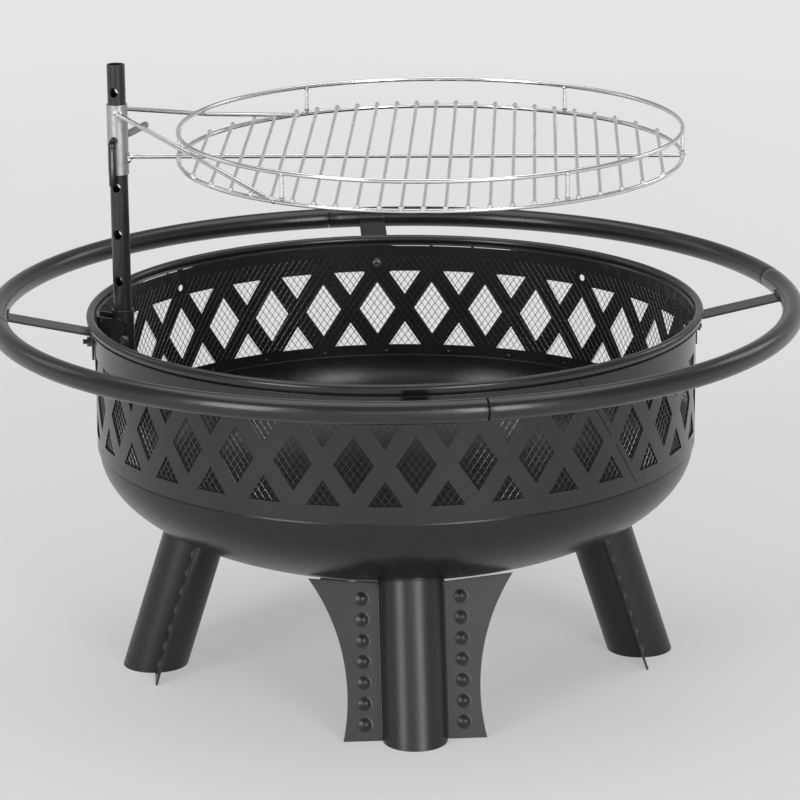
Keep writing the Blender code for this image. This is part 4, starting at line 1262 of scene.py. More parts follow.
def build_brackets():
    """Four bent strips from the band to the ring, with the welds that hold the ring."""
    sizes = settings().ring
    flange = bracket_low.x
    face = flange + sizes.plate
    slant_height = bracket_low.z + BRACKET_UPRIGHT
    slant = math.atan2(RING_HEIGHT - sizes.plate / 2 - slant_height, RING_RADIUS - flange)
    bend_height = slant_height - 0.006
    line = [(face, bracket_low.z), (face, bend_height)]
    middle = Vector((face + sizes.bend, bend_height + 0.0005))
    for index in range(1, 7):
        angle = math.pi - (QUARTER - slant) * index / 6
        line.append((middle.x + sizes.bend * math.cos(angle),
                     middle.y + sizes.bend * math.sin(angle)))
    line.append((RING_RADIUS - RING_TUBE_RADIUS * 0.4,
                 RING_HEIGHT - sizes.plate / 2 - RING_TUBE_RADIUS * 0.4 * math.tan(slant)))
    strip = strip_piece("ring_brackets", line, sizes.bracket_width, sizes.plate)
    drilled(strip, [drill_between((flange - 0.005, 0, BOLT_HEIGHT), (flange + 0.008, 0, BOLT_HEIGHT),
                                  BOLT_HOLE_RADIUS)])
    work = bmesh.new()
    half = sizes.bracket_width / 2
    for side in (-1, 1):
        points = []
        for index in range(25):
            across = -half + sizes.bracket_width * index / 24
            drop = side * (sizes.plate / 2 + 0.0006) - 0.0004
            depth = math.sqrt(RING_TUBE_RADIUS ** 2 - drop ** 2)
            radius = math.sqrt(RING_RADIUS ** 2 - across ** 2) - depth
            points.append((radius - 0.0002, across, RING_HEIGHT + drop))
        sweep(work, points, sizes.weld, 8, swell=ripple(0.16, 3), edge=0.0006)
    weld = new_piece("ring_weld", work)
    strip = combined("ring_brackets", [strip, weld])
    repeated(strip, len(SIDES))
    nodes = ["ring_bracket_" + side for side in SIDES]
    hand_over(strip, "stand", "heat_paint_black", heat_paint(), *nodes)


def bolt_piece(name, seat, end, head_width, head_height, stud):
    """A button-head bolt along X with a six-sided recess and a threaded end."""
    radius = head_width / 2
    profile = [(0.0, 0.0), (radius - 0.0003, 0.0), (radius, 0.0003), (radius, 0.0008)]
    for index in range(1, 9):
        angle = QUARTER * index / 8
        profile.append((radius * (0.42 + 0.58 * math.cos(angle)),
                        0.0008 + (head_height - 0.0008) * math.sin(angle)))
    profile.append((0.0, head_height))
    turn = Matrix.Translation((seat, 0.0, BOLT_HEIGHT)) @ Matrix.Rotation(-QUARTER, 4, "Y")
    head = turned_piece("bolt_head", profile, 32, place=turn)
    key = turned_piece("hex_key", [(0.0, head_height + 0.001), (0.0022, head_height + 0.001),
                                   (0.0022, head_height - 0.0018), (0.0, head_height - 0.0024)], 6,
                       place=turn)
    drilled(head, [key])
    start = seat - head_height * 0.3
    length = end - start
    pitch = 0.001
    count = int(length / pitch) * 4
    points = [(start + length * index / count, 0.0, BOLT_HEIGHT) for index in range(count + 1)]

    def thread(index):
        return 1.0 - 0.07 * (1.0 - math.cos(math.tau * index / 4))

    shank = swept_piece("bolt_shank", points, stud, 16, swell=thread, sharp=60.0)
    washer_profile = [(stud + 0.0002, 0.0), (radius + 0.0006, 0.0), (radius + 0.0008, -0.0002),
                      (radius + 0.0006, -0.0004), (stud + 0.0002, -0.0004)]
    washer = turned_piece("washer", washer_profile, 32, closed=True, place=turn)
    return combined(name, [head, shank, washer])


def nut_piece(name, seat, height, width, stud):
    """A six-sided nut along X with chamfered corners."""
    radius = width / math.sqrt(3.0)
    inner = stud + 0.0002
    rows = []
    for level, share in ((0.0, 0.93), (0.0006, 1.0), (height - 0.0006, 1.0), (height, 0.93)):
        row = []
        for index in range(36):
            angle = math.tau * index / 36
            fold = (angle + math.radians(30)) % math.radians(60) - math.radians(30)
            flat = width / 2 / math.cos(fold)
            reach = min(flat, radius * share * 1.02 if share < 1.0 else radius)
            row.append((seat + level, reach * math.sin(angle), BOLT_HEIGHT + reach * math.cos(angle)))
        rows.append(row)
    for level in (height - 0.0002, 0.0002):
        rows.append([(seat + level, inner * math.sin(math.tau * index / 36),
                      BOLT_HEIGHT + inner * math.cos(math.tau * index / 36)) for index in range(36)])
    work = bmesh.new()
    skin(work, rows, loop=True)
    return new_piece(name, work, sharp=25.0)


def build_bolts():
    """The bolts and nuts that hold the brackets, and the longer bolt through the post's socket."""
    head_height = 0.0035
    right_low, right_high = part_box("ring_bolt_right")
    left_low, left_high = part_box("ring_bolt_left")
    seat = right_low.x + head_height
    width = right_high.z - right_low.z
    stud = 0.003
    plain = bolt_piece("ring_bolts", seat, right_high.x, width, head_height, stud)
    grown(plain, copies_round(), {"Copies": 3, "Step angle": QUARTER, "Start angle": -QUARTER})
    hand_over(plain, "stand", "black_bolt", bolt_steel(), "ring_bolt_front", "ring_bolt_right",
              "ring_bolt_back")
    seat = -left_high.x + head_height
    longer = bolt_piece("socket_bolt", seat, -left_low.x, width, head_height, stud)
    longer.data.transform(Matrix.Rotation(math.pi, 4, "Z"))
    hand_over(longer, "stand", "black_bolt", bolt_steel(), "ring_bolt_left")
    low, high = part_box("ring_nut_right")
    nut = nut_piece("ring_nuts", low.x, high.x - low.x, min(high.y - low.y, high.z - low.z), stud)
    repeated(nut, len(SIDES))
    hand_over(nut, "stand", "black_bolt", bolt_steel(), *["ring_nut_" + side for side in SIDES])


# Legs


def leg_lines(sizes, radius, steps):
    """Foot and head of each line along a leg's tube, where it meets the ground and the bowl."""
    bowl = settings().bowl
    axis = Vector((-math.sin(sizes.lean), 0.0, math.cos(sizes.lean)))
    side = Vector((0.0, 1.0, 0.0))
    out = Vector((math.cos(sizes.lean), 0.0, math.sin(sizes.lean)))
    foot_centre = Vector((sizes.spread, 0.0, 0.0))
    feet = []
    heads = []
    for index in range(steps):
        angle = math.tau * index / steps
        start = foot_centre + radius * (out * math.cos(angle) + side * math.sin(angle))
        foot = start - axis * (start.z / axis.z)
        low = 0.0
        high = 0.4
        for _ in range(40):
            middle = (low + high) / 2
            point = foot + axis * middle
            if point.z < bowl_height(math.hypot(point.x, point.y), bowl):
                low = middle
            else:
                high = middle
        feet.append(foot)
        heads.append(foot + axis * (low - 0.0003))
    return feet, heads


def build_legs():
    """The four leaning tubes, each coped to the bowl and welded round its top."""
    sizes = settings().legs
    radius = sizes.tube / 2
    steps = 72
    out_feet, out_heads = leg_lines(sizes, radius, steps)
    in_feet, in_heads = leg_lines(sizes, radius - sizes.wall, steps)
    work = bmesh.new()
    edge = 0.0004
    lifted = [foot + (head - foot).normalized() * edge for foot, head in zip(out_feet, out_heads)]
    foot_edge = [foot.lerp(inner, edge / sizes.wall) for foot, inner in zip(out_feet, in_feet)]
    skin(work, [foot_edge, lifted, out_heads, in_heads, in_feet], loop=True)
    leg = new_piece("leg_tubes", work)
    weld = swept_piece("leg_weld", [head + Vector((0.0, 0.0, -0.0002)) for head in out_heads],
                       0.0016, 8, cyclic=True, swell=ripple(0.12, 2))
    leg = combined("leg_tubes", [leg, weld])
    repeated(leg, len(SIDES))
    hand_over(leg, "stand", "heat_paint_black", leg_paint(),
              *["leg_tube_" + side for side in SIDES])


def circle_through(first, second, third, count):
    """Points on the circular arc from the first point to the third through the second."""
    centre = [0.0, 0.0]
    scale = 0.0
    for near, after, last in ((first, second, third), (second, third, first),
                              (third, first, second)):
        square = near[0] ** 2 + near[1] ** 2
        scale += 2 * near[0] * (after[1] - last[1])
        centre[0] += square * (after[1] - last[1])
        centre[1] += square * (last[0] - after[0])
    across = centre[0] / scale
    up = centre[1] / scale
    radius = math.hypot(first[0] - across, first[1] - up)
    start = math.atan2(first[1] - up, first[0] - across) % math.tau
    end = math.atan2(third[1] - up, third[0] - across) % math.tau
    return [(across + radius * math.cos(start + (end - start) * index / count),
             up + radius * math.sin(start + (end - start) * index / count))
            for index in range(count + 1)]


def wing_outline(sizes, plate):
    """Outline of the right wing in the leg's own plane, from its inner foot round to its top."""
    bowl = settings().bowl
    top = bowl_low.z
    for _ in range(20):
        top = bowl_height(sizes.spread - top * math.tan(sizes.lean), bowl)
    rise = (top - sizes.wing_gap) / math.cos(sizes.lean)
    outer_rise = rise + WING_LIFT
    inner = sizes.tube / 2
    low = plate / 2 * math.tan(sizes.lean)
    arc = circle_through((sizes.wing_top, outer_rise),
                         (sizes.wing_waist, outer_rise * sizes.waist_share),
                         (sizes.wing_foot, 0.0), 40)
    arc[-1] = (sizes.wing_foot, low)
    return [(inner, low)] + arc[::-1] + [(inner, rise)], low, rise


def wing_plate(outline, sign, centre, low, half):
    """One waisted plate with softened edges, in the leg's own plane."""
    edge = 0.0003
    rows = []
    for height, inset in ((-half, edge), (-half + edge, 0.0), (half - edge, 0.0), (half, edge)):
        row = []
        for along, up in outline:
            point = Vector((sign * along, up, 0.0))
            if inset:
                point += (centre - point).normalized() * inset
            row.append(Vector((point.x, max(point.y, low), height)))
        rows.append(row)
    work = bmesh.new()
    closed_skin(work, rows)
    return new_piece("wing_plate", work, sharp=30.0)


def wing_domes(sizes, sign, half):
    """The row of pressed domes on one wing."""
    foot = sizes.dome_width / 2 + 0.0008
    profile = [(0.0, -0.0012), (foot, -0.0012)]
    for index in range(13):
        share = index / 12
        profile.append((foot * (1.0 - share),
                        sizes.dome_rise * (1.0 - math.cos(math.pi * share ** 0.85)) / 2))
    spot = Matrix.Translation((sign * sizes.dome_offset, sizes.dome_foot, half))
    dome = turned_piece("pressed_dome", profile, 28, place=spot, sharp=60.0)
    return grown(dome, copies_in_line(),
                 {"Copies": sizes.domes, "Pitch": (0.0, sizes.dome_pitch, 0.0)}, sharp=60.0)


def wing_weld(sizes, sign, face, low, rise, half):
    """The thin, slightly wavering weld between a wing and its leg, on one face of the plate."""
    line = []
    count = 66
    for index in range(count + 1):
        up = low + 0.002 + (rise - low - 0.006) * index / count
        drift = 0.00008 * math.sin(index * 1.7) + 0.00006 * math.sin(index * 0.63 + face)
        line.append((sign * (sizes.tube / 2 + 0.0003 + drift), up, face * (half - 0.0003)))
    return swept_piece("wing_weld", line, 0.0009, 8, edge=0.0005, swell=ripple(0.05, 5.3))


def build_wings():
    """The waisted wing plates beside each leg, with their rows of pressed domes."""
    sizes = settings().legs
    plate = settings().ring.plate
    half = plate / 2
    outline, low, rise = wing_outline(sizes, plate)
    parts = []
    for sign in (-1.0, 1.0):
        centre = Vector((sign * (sizes.wing_waist + sizes.tube / 2) / 2, rise / 2, 0.0))
        parts.append(wing_plate(outline, sign, centre, low, half))
        parts.append(wing_domes(sizes, sign, half))
        for face in (-1.0, 1.0):
            parts.append(wing_weld(sizes, sign, face, low, rise, half))
    wings = combined("leg_wings", parts)
    wings.data.transform(Matrix.Translation((sizes.spread, 0.0, 0.0))
                         @ Matrix.Rotation(QUARTER, 4, "Z")
                         @ Matrix.Rotation(QUARTER - sizes.lean, 4, "X"))
    repeated(wings, len(SIDES))
    nodes = ["leg_wing_" + side + "_" + hand for side in SIDES for hand in ("left", "right")]
    hand_over(wings, "stand", "heat_paint_black", leg_paint(), *nodes)


# Post, socket, sleeve and pin


def tube_profile(outer, inner, low, high, edge=0.0003):
    """Profile of a short tube with softened mouths."""
    return [(outer, low + edge), (outer, high - edge), (outer - edge, high), (inner + edge, high),
            (inner, high - edge), (inner, low + edge), (inner + edge, low), (outer - edge, low)]


def build_post():
    """The hollow post, drilled through at each height of the grate."""
    sizes = settings().post
    profile = tube_profile(POST_RADIUS, POST_RADIUS - sizes.wall, post_low.z, post_high.z)
    post = turned_piece("grate_post", profile, 64, closed=True, centre=POST_CENTRE.xy)
    out = polar(2 * POST_RADIUS, sizes.pin_direction)
    drills = []
    for index in range(sizes.holes):
        middle = POST_CENTRE + Vector((0, 0, post_high.z - sizes.first_hole
                                       - index * sizes.hole_pitch))
        drills.append(drill_between(middle - out, middle + out, sizes.hole_width / 2))
    drilled(post, drills)
    hand_over(post, "post", "heat_paint_black", heat_paint(), "post")


def socket_tube(bore, outer):
    """The short tube that the post stands in, with a floor that leaves a drain hole."""
    low, high = socket_low.z, socket_high.z
    profile = [(0.004, low), (outer - 0.0006, low), (outer, low + 0.0006), (outer, high - 0.0005),
               (outer - 0.0005, high), (bore + 0.0004, high), (bore, high - 0.0004),
               (bore, low + 0.003), (0.004, low + 0.003)]
    return turned_piece("socket_tube", profile, 64, closed=True, centre=POST_CENTRE.xy)


def socket_fold(half, plate, low, high):
    """The plate folded round the socket, bolted to the wall with its higher back."""
    wall = -socket_low.x
    inside = wall - plate
    fold = 0.004
    back_rise = 0.005
    path = [(-POST_CENTRE.x, half)]
    for index in range(7):
        angle = QUARTER * index / 6
        path.append((wall - fold + fold * math.sin(angle), half - fold + fold * math.cos(angle)))
    path += [(along, -across) for along, across in path[::-1]]
    sections = []
    for index, (along, across) in enumerate(path):
        before = Vector(path[max(index - 1, 0)])
        after = Vector(path[min(index + 1, len(path) - 1)])
        forward = (after - before).normalized()
        inward = Vector((forward.y, -forward.x)) * plate
        outer_point = (-along, across)
        inner_point = (-(along + inward.x), across + inward.y)
        top = high + back_rise if along > inside - 0.012 else high
        sections.append([(*outer_point, low), (*outer_point, top), (*inner_point, top),
                         (*inner_point, low)])
    work = bmesh.new()
    closed_skin(work, sections)
    bracket = new_piece("socket_fold", work, sharp=30.0)
    return drilled(bracket, [drill_between((-wall - 0.004, 0, BOLT_HEIGHT),
                                           (-inside + 0.002, 0, BOLT_HEIGHT), BOLT_HOLE_RADIUS)])


def socket_welds(outer, slide, low, high):
    """The two upright welds between the socket's tube and its plate."""
    reach = math.sqrt(max(outer ** 2 - slide ** 2, 0.0))
    work = bmesh.new()
    for side in (-1.0, 1.0):
        line = [(POST_CENTRE.x + reach + 0.0006, side * (slide + 0.0012),
                 low + 0.002 + (high - low - 0.004) * index / 24) for index in range(25)]
        sweep(work, line, 0.0014, 8, edge=0.0005, swell=ripple(0.14, 2))
    return new_piece("socket_weld", work)


def build_socket():
    """The socket tube, welded to the folded plate that is bolted to the wall."""
    sizes = settings().post
    plate = settings().ring.plate
    bore = POST_RADIUS + sizes.fit
    outer = bore + sizes.socket_wall
    half = outer + plate - sizes.fit
    high = socket_high.z - 0.010
    low = high - 0.040
    whole = combined("post_socket_and_fold",
                     [socket_tube(bore, outer), socket_fold(half, plate, low, high),
                      socket_welds(outer, half - plate, low, high)])
    hand_over(whole, "stand", "heat_paint_black", heat_paint(), "post_socket")


def build_screw():
    """The screw that clamps the post in its socket."""
    height = (screw_low.z + screw_high.z) / 2
    seat = screw_low.y + 0.0035
    radius = (screw_high.z - screw_low.z) / 2
    shank = swept_piece("screw_shank", [(POST_CENTRE.x, screw_high.y, height),
                                        (POST_CENTRE.x, seat, height)], 0.003, 20)
    head = [(0.0, 0.0), (radius, 0.0), (radius, 0.0022), (radius * 0.92, 0.003),
            (radius * 0.55, 0.0035), (radius * 0.5, 0.002), (0.0, 0.0018)]
    turn = Matrix.Translation((POST_CENTRE.x, seat, height)) @ Matrix.Rotation(QUARTER, 4, "X")
    cap = turned_piece("screw_head", head, 24, place=turn, sharp=30.0)
    screw = combined("socket_screw", [shank, cap])
    hand_over(screw, "stand", "black_bolt", bolt_steel(), "socket_set_screw")


def build_sleeve():
    """The plated sleeve that slides on the post, with its pin hole."""
    sizes = settings().post
    bore = POST_RADIUS + sizes.fit
    outer = bore + sizes.sleeve_wall
    profile = tube_profile(outer, bore, sleeve_low.z, sleeve_high.z)
    sleeve = turned_piece("grate_sleeve_tube", profile, 64, closed=True, centre=POST_CENTRE.xy)
    middle = POST_CENTRE + Vector((0.0, 0.0, PIN_HEIGHT))
    out = polar(2 * outer, sizes.pin_direction)
    drilled(sleeve, [drill_between(middle - out, middle + out, sizes.pin_width / 2 + sizes.fit)])
    hand_over(sleeve, "grate", "zinc_plate", zinc_plate(), "grate_sleeve")


def strut_points(sizes, ring_radius, sign):
    """Top, bend and foot of one strut, given from the post's axis along the arm."""
    ring_height = PIN_HEIGHT - sizes.drop
    rail_height = rail_high.z - sizes.wire / 2
    turn = math.acos(sizes.post_gaps * sizes.rod_pitch / ring_radius)
    foot_angle = math.pi - turn + sizes.strut_foot / ring_radius
    foot = Vector((ARM, 0.0, 0.0)) + polar(ring_radius, foot_angle)
    foot.z = ring_height - sizes.sink
    line = foot.xy.normalized()
    crossing = line * (ARM * line.x - math.sqrt(ring_radius ** 2 - (ARM * line.y) ** 2))
    bend = Vector((crossing.x, crossing.y, rail_height - sizes.strut_under_rail))
    top_height = PIN_HEIGHT + sizes.strut_top
    post = settings().post
    start = POST_RADIUS + post.fit + post.sleeve_wall
    top = polar(start + sizes.wire * 0.4, sizes.strut_seat, top_height)
    return [Vector((point.x, sign * point.y, point.z)) for point in (top, bend, foot)]


def softened(points, radius, steps=6):
    """A wire's path with its middle bend rounded."""
    top, bend, foot = points
    start = bend + (top - bend).normalized() * radius
    end = bend + (foot - bend).normalized() * radius
    path = [top]
    for index in range(steps + 1):
        share = index / steps
        path.append(start.lerp(bend, share).lerp(bend.lerp(end, share), share))
    path.append(foot)
    return path


def wire_ring(work, centre, radius, wire):
    """A closed ring of wire round the grate's middle."""
    steps = 160
    circle = [centre + polar(radius, math.tau * index / steps) for index in range(steps)]
    sweep(work, circle, wire, 14, cyclic=True)


def build_grate():
    """The round grate: ring, parallel rods, cross rod and two struts, with their welds."""
    sizes = settings().grate
    post = settings().post
    wire = sizes.wire / 2
    ring_radius = RAIL_RADIUS - wire
    height = PIN_HEIGHT - sizes.drop
    sleeve = POST_RADIUS + post.fit + post.sleeve_wall
    centre = Vector((ARM, 0.0, height))
    work = bmesh.new()
    wire_ring(work, centre, ring_radius, wire)
    cross = [(sleeve - 0.0004, 0.0, height - post.fit), (ARM + ring_radius, 0.0, height - post.fit)]
    sweep(work, cross, wire, 14)
    # Each strut has three lumps of weld at the sleeve and one at its foot
    for sign in (-1.0, 1.0):
        points = strut_points(sizes, ring_radius, sign)
        sweep(work, softened(points, 0.010), wire, 14, edge=0.0005)
        top, _, foot = points
        blob(work, top + Vector((-0.0002, sign * 0.0006, 0.0006)), (0.0042, 0.0028, 0.0038))
        blob(work, top + Vector((0.0046, -sign * 0.0014, -0.0006)), (0.0036, 0.0024, 0.0030))
        blob(work, top + Vector((0.0022, -sign * 0.0018, -0.0040)), (0.0028, 0.0016, 0.0020))
        blob(work, foot + Vector((0.0, 0.0, 0.0012)), (0.0046, 0.0034, 0.0026))
    # The cross rod widens into its weld at the sleeve
    flare = [(sleeve - 0.0012 + 0.0092 * index / 10, 0.0, height - post.fit) for index in range(11)]
    sweep(work, flare, wire, 20, swell=lambda index: 1.0 + 1.25 * (1.0 - index / 10) ** 2.4)
    for side in (-1.0, 1.0):
        blob(work, Vector((sleeve + 0.0006, side * 0.0030, height - post.fit - 0.0034)),
             (0.0024, 0.0030, 0.0034))
        blob(work, Vector((ARM + side * ring_radius, 0.0, height + 0.0006)), (0.0042, 0.0036, 0.0028))
    body = new_piece("grate_wires", work)
    rods = new_piece("grate_rods", bmesh.new())
    grown(rods, rods_on_ring(),
          {"Rods": sizes.rods, "Pitch": sizes.rod_pitch, "Ring radius": ring_radius,
           "Overhang": sizes.overhang - 0.0002, "Wire radius": sizes.rod_wire / 2,
           "Weld radius": 0.0031})
    rods.data.transform(Matrix.Translation(
        (ARM, 0.0, height + wire + sizes.rod_wire / 2 - sizes.sink)))
    grate = combined("cooking_grate_wires", [body, rods])
    grate.data.transform(SWING_PLACE)
    hand_over(grate, "grate", "chrome_wire", bright_wire(), "cooking_grate")


def build_rail():
    """The rail above the grate, on its short posts."""
    sizes = settings().grate
    wire = sizes.wire / 2
    ring_radius = RAIL_RADIUS - wire
    height = rail_high.z - wire
    foot = rail_low.z
    turn = math.acos(sizes.post_gaps * sizes.rod_pitch / ring_radius)
    centre = Vector((ARM, 0.0, height))
    work = bmesh.new()
    wire_ring(work, centre, ring_radius, wire)
    for angle in (0.0, turn, math.pi - turn, math.pi, math.pi + turn, -turn):
        top = centre + polar(ring_radius, angle)
        low = Vector((top.x, top.y, foot))
        sweep(work, [low, top], sizes.rail_post_wire / 2, 12)
        blob(work, low + Vector((0, 0, 0.0017)), (0.0031, 0.0036, 0.0017), angle)
        blob(work, top - Vector((0, 0, 0.0016)), (0.0030, 0.0036, 0.0026), angle)
    rail = new_piece("grate_rail_wire", work)
    rail.data.transform(SWING_PLACE)
    hand_over(rail, "grate", "chrome_wire", bright_wire(), "grate_rail")


def build_pin():
    """The bent pin through sleeve and post, grey at its tail, with a painted highlight along its
    handle.
    """
    sizes = settings().post
    out = polar(1.0, sizes.pin_direction)
    middle = POST_CENTRE + Vector((0.0, 0.0, PIN_HEIGHT))
    tail = [middle - out * (sizes.pin_tail * (1 - index / 12)) for index in range(12)]
    corner = (middle + out * (sizes.handle_reach - sizes.bend) - Vector((0, 0, sizes.bend)))
    points = tail
    for index in range(13):
        angle = QUARTER * (1 - index / 12)
        points.append(corner + out * sizes.bend * math.cos(angle)
                      + Vector((0, 0, sizes.bend * math.sin(angle))))
    handle = middle + out * sizes.handle_reach
    straight = sizes.handle_drop - sizes.bend
    for share in (0.10, 0.50, 0.75, 1.0):
        points.append(handle - Vector((0, 0, sizes.bend + straight * share)))
    pin = swept_piece("bent_lock_pin", points, sizes.pin_width / 2, 24, edge=0.0014)
    # Painted highlight: a lighter, metallic streak down the front side of the handle over part of its
    # length. The tail turns grey and metallic from a set distance past the post's axis.
    grey_and_highlight_share = pin.data.attributes.new("grey_tail_and_painted_highlight", "FLOAT", "POINT")
    highlight_side = Vector((0.0, -1.0))
    grey_from = 0.020
    grey_fade = 0.006
    values = []
    for vertex in pin.data.vertices:
        along = -(vertex.co - middle).dot(out)
        tail_grey = (along - grey_from) / grey_fade
        side = Vector((vertex.co.x - handle.x, vertex.co.y - handle.y))
        share = (middle.z - vertex.co.z - sizes.bend) / straight
        on_line = side.dot(highlight_side) > sizes.pin_width * 0.48
        painted_highlight = 0.9 if on_line and 0.05 < share < 0.6 else 0.0
        values.append(min(max(tail_grey, painted_highlight), 1.0))
    grey_and_highlight_share.data.foreach_set("value", values)
    hand_over(pin, "lock_pin", "gloss_black", pin_coat(), "lock_pin")


# Stage


# Name, place, aim, width and height in metres, and power in watts of each soft lamp
LAMPS = (
    ("overhead_box", (0.0, 0.6, 3.6), (0.0, 0.0, 0.3), (4.0, 3.2), 60.0),
    ("left_strip", (-3.05, -3.05, 1.65), (0.0, 0.0, 0.3), (1.5, 2.6), 80.0),
    ("right_strip", (1.62, -3.98, 1.65), (0.0, 0.0, 0.3), (1.4, 2.6), 82.0),
    ("front_box", (-0.25, -4.9, 1.9), (0.0, 0.0, 0.2), (2.6, 1.4), 14.0),
    ("left_box", (-3.2, 1.8, 2.4), (0.0, 0.0, 0.3), (1.4, 1.4), 7.0),
    ("right_box", (3.2, 1.8, 2.4), (0.0, 0.0, 0.3), (1.4, 1.4), 13.0),
)


def softbox(name, place, aim, size, power):
    """A large soft lamp aimed at a point."""
    lamp = bpy.data.lights.new(name, "AREA")
    lamp.shape = "RECTANGLE"
    lamp.size = size[0]
    lamp.size_y = size[1]
    lamp.energy = power
    thing = bpy.data.objects.new(name, lamp)
    thing.location = place
    thing.rotation_euler = (Vector(aim) - Vector(place)).to_track_quat("-Z", "Y").to_euler()
    bpy.context.scene.collection.objects.link(thing)


def show_backdrop(tree, kind, lit, colour, share=1.0):
    """Mix a shader with a share of plain backdrop colour for the rays that see it."""
    path = add_node(tree, "ShaderNodeLightPath").outputs
    seen = maths(tree, "MAXIMUM", path["Is Camera Ray"],
                 maths(tree, "MAXIMUM", path["Is Glossy Ray"], path["Is Transmission Ray"]))
    plain = add_node(tree, kind, {"Color": colour, "Strength": 1.0})
    return add_node(tree, "ShaderNodeMixShader", {0: maths(tree, "MULTIPLY", seen, share), 1: lit,
                                                  2: plain.outputs[0]})


def build_stage():
    """Pale floor, soft studio light and the camera."""
    scene = bpy.context.scene
    sizes = settings().stage
    scene.view_settings.view_transform = "Standard"

    world = bpy.data.worlds.new("pale_surround")
    world.use_nodes = True
    tree = world.node_tree
    lit = tree.nodes["Background"]
    direction = add_node(tree, "ShaderNodeTexCoord").outputs["Generated"]
    rise = add_node(tree, "ShaderNodeSeparateXYZ", {0: direction}).outputs[2]
    dimming = ranged(tree, rise, 0.0, 0.5, 1.0, sizes.ceiling)
    tree.links.new(shaded(tree, (1.0, 1.0, 1.0), dimming), lit.inputs["Color"])
    lit.inputs["Strength"].default_value = sizes.world_light
    walls = [value * sizes.walls for value in sizes.backdrop]
    shown = show_backdrop(tree, "ShaderNodeBackground", lit.outputs[0], shaded(tree, walls, dimming))
    tree.links.new(shown.outputs[0], tree.nodes["World Output"].inputs[0])
    scene.world = world

    work = bmesh.new()
    bmesh.ops.create_circle(work, cap_ends=True, segments=96, radius=FLOOR_RADIUS)
    floor = new_piece("pale_floor", work, outward=False)
    material = bpy.data.materials.new("pale_floor_coat")
    material.use_nodes = True
    tree = material.node_tree
    shader = tree.nodes["Principled BSDF"]
    where = add_node(tree, "ShaderNodeTexCoord").outputs["Object"]
    tint = ranged(tree, noise(tree, where, 1.6, 4.0), 0.0, 1.0, 0.74, 0.80)
    colour = add_node(tree, "ShaderNodeCombineColor", {0: tint, 1: tint, 2: tint})
    tree.links.new(colour.outputs[0], shader.inputs["Base Color"])
    shader.inputs["Roughness"].default_value = 0.85
    away = add_node(tree, "ShaderNodeVectorMath", {0: where}, operation="LENGTH").outputs["Value"]
    paling = ranged(tree, away, 0.6, 4.2, 0.93, 1.60)
    shown = show_backdrop(tree, "ShaderNodeEmission", shader.outputs[0],
                          shaded(tree, sizes.backdrop, paling), sizes.floor_share)
    tree.links.new(shown.outputs[0], tree.nodes["Material Output"].inputs[0])
    floor.data.materials.append(material)

    for lamp in LAMPS:
        softbox(*lamp)

    lens = bpy.data.cameras.new("camera")
    lens.lens = sizes.lens
    lens.sensor_width = 36.0
    lens.clip_end = 60.0
    camera = bpy.data.objects.new("camera", lens)
    aim = (Matrix.Rotation(-sizes.camera_heading, 4, "Z")
           @ Matrix.Rotation(QUARTER - sizes.camera_pitch, 4, "X")
           @ Matrix.Rotation(sizes.camera_roll, 4, "Z"))
    camera.matrix_world = Matrix.Translation(sizes.camera_place) @ aim
    scene.collection.objects.link(camera)
    scene.camera = camera


# Operators and panel


class FIREPIT_OT_bowl(bpy.types.Operator):
    """Build the pressed bowl."""

    bl_idname = "fire_pit.bowl"
    bl_label = "Bowl"
    bl_options = {"REGISTER", "UNDO"}

    def execute(self, context):
        build_bowl()
        return {"FINISHED"}


class FIREPIT_OT_band(bpy.types.Operator):
    """Build the cross-weave band."""

    bl_idname = "fire_pit.band"
    bl_label = "Cross-Weave Band"
    bl_options = {"REGISTER", "UNDO"}

    def execute(self, context):
        build_band()
        return {"FINISHED"}


class FIREPIT_OT_liner(bpy.types.Operator):
    """Build the expanded mesh behind the band."""

    bl_idname = "fire_pit.liner"
    bl_label = "Mesh Liner"
    bl_options = {"REGISTER", "UNDO"}

    def execute(self, context):
        build_liner()
        return {"FINISHED"}


class FIREPIT_OT_rim(bpy.types.Operator):
    """Build the rolled rim."""

    bl_idname = "fire_pit.rim"
    bl_label = "Rolled Rim"
    bl_options = {"REGISTER", "UNDO"}

    def execute(self, context):
        build_rim()
        return {"FINISHED"}


class FIREPIT_OT_ring(bpy.types.Operator):
    """Build the four tubes of the handrail ring."""

    bl_idname = "fire_pit.ring"
    bl_label = "Handrail Ring"
    bl_options = {"REGISTER", "UNDO"}

    def execute(self, context):
        build_ring()
        return {"FINISHED"}


class FIREPIT_OT_brackets(bpy.types.Operator):
    """Build the four brackets of the ring."""

    bl_idname = "fire_pit.brackets"
    bl_label = "Ring Brackets"
    bl_options = {"REGISTER", "UNDO"}

    def execute(self, context):
        build_brackets()
        return {"FINISHED"}


class FIREPIT_OT_bolts(bpy.types.Operator):
    """Build the bolts and nuts of the brackets."""

    bl_idname = "fire_pit.bolts"
    bl_label = "Bolts and Nuts"
    bl_options = {"REGISTER", "UNDO"}

    def execute(self, context):
        build_bolts()
        return {"FINISHED"}


class FIREPIT_OT_legs(bpy.types.Operator):
    """Build the four leg tubes."""

    bl_idname = "fire_pit.legs"
    bl_label = "Leg Tubes"
    bl_options = {"REGISTER", "UNDO"}

    def execute(self, context):
        build_legs()
        return {"FINISHED"}


class FIREPIT_OT_wings(bpy.types.Operator):
    """Build the wing plates beside the legs."""

    bl_idname = "fire_pit.wings"
    bl_label = "Leg Wings"
    bl_options = {"REGISTER", "UNDO"}

    def execute(self, context):
        build_wings()
        return {"FINISHED"}


class FIREPIT_OT_post(bpy.types.Operator):
    """Build the drilled post."""

    bl_idname = "fire_pit.post"
    bl_label = "Grate Post"
    bl_options = {"REGISTER", "UNDO"}

    def execute(self, context):
        build_post()
        return {"FINISHED"}


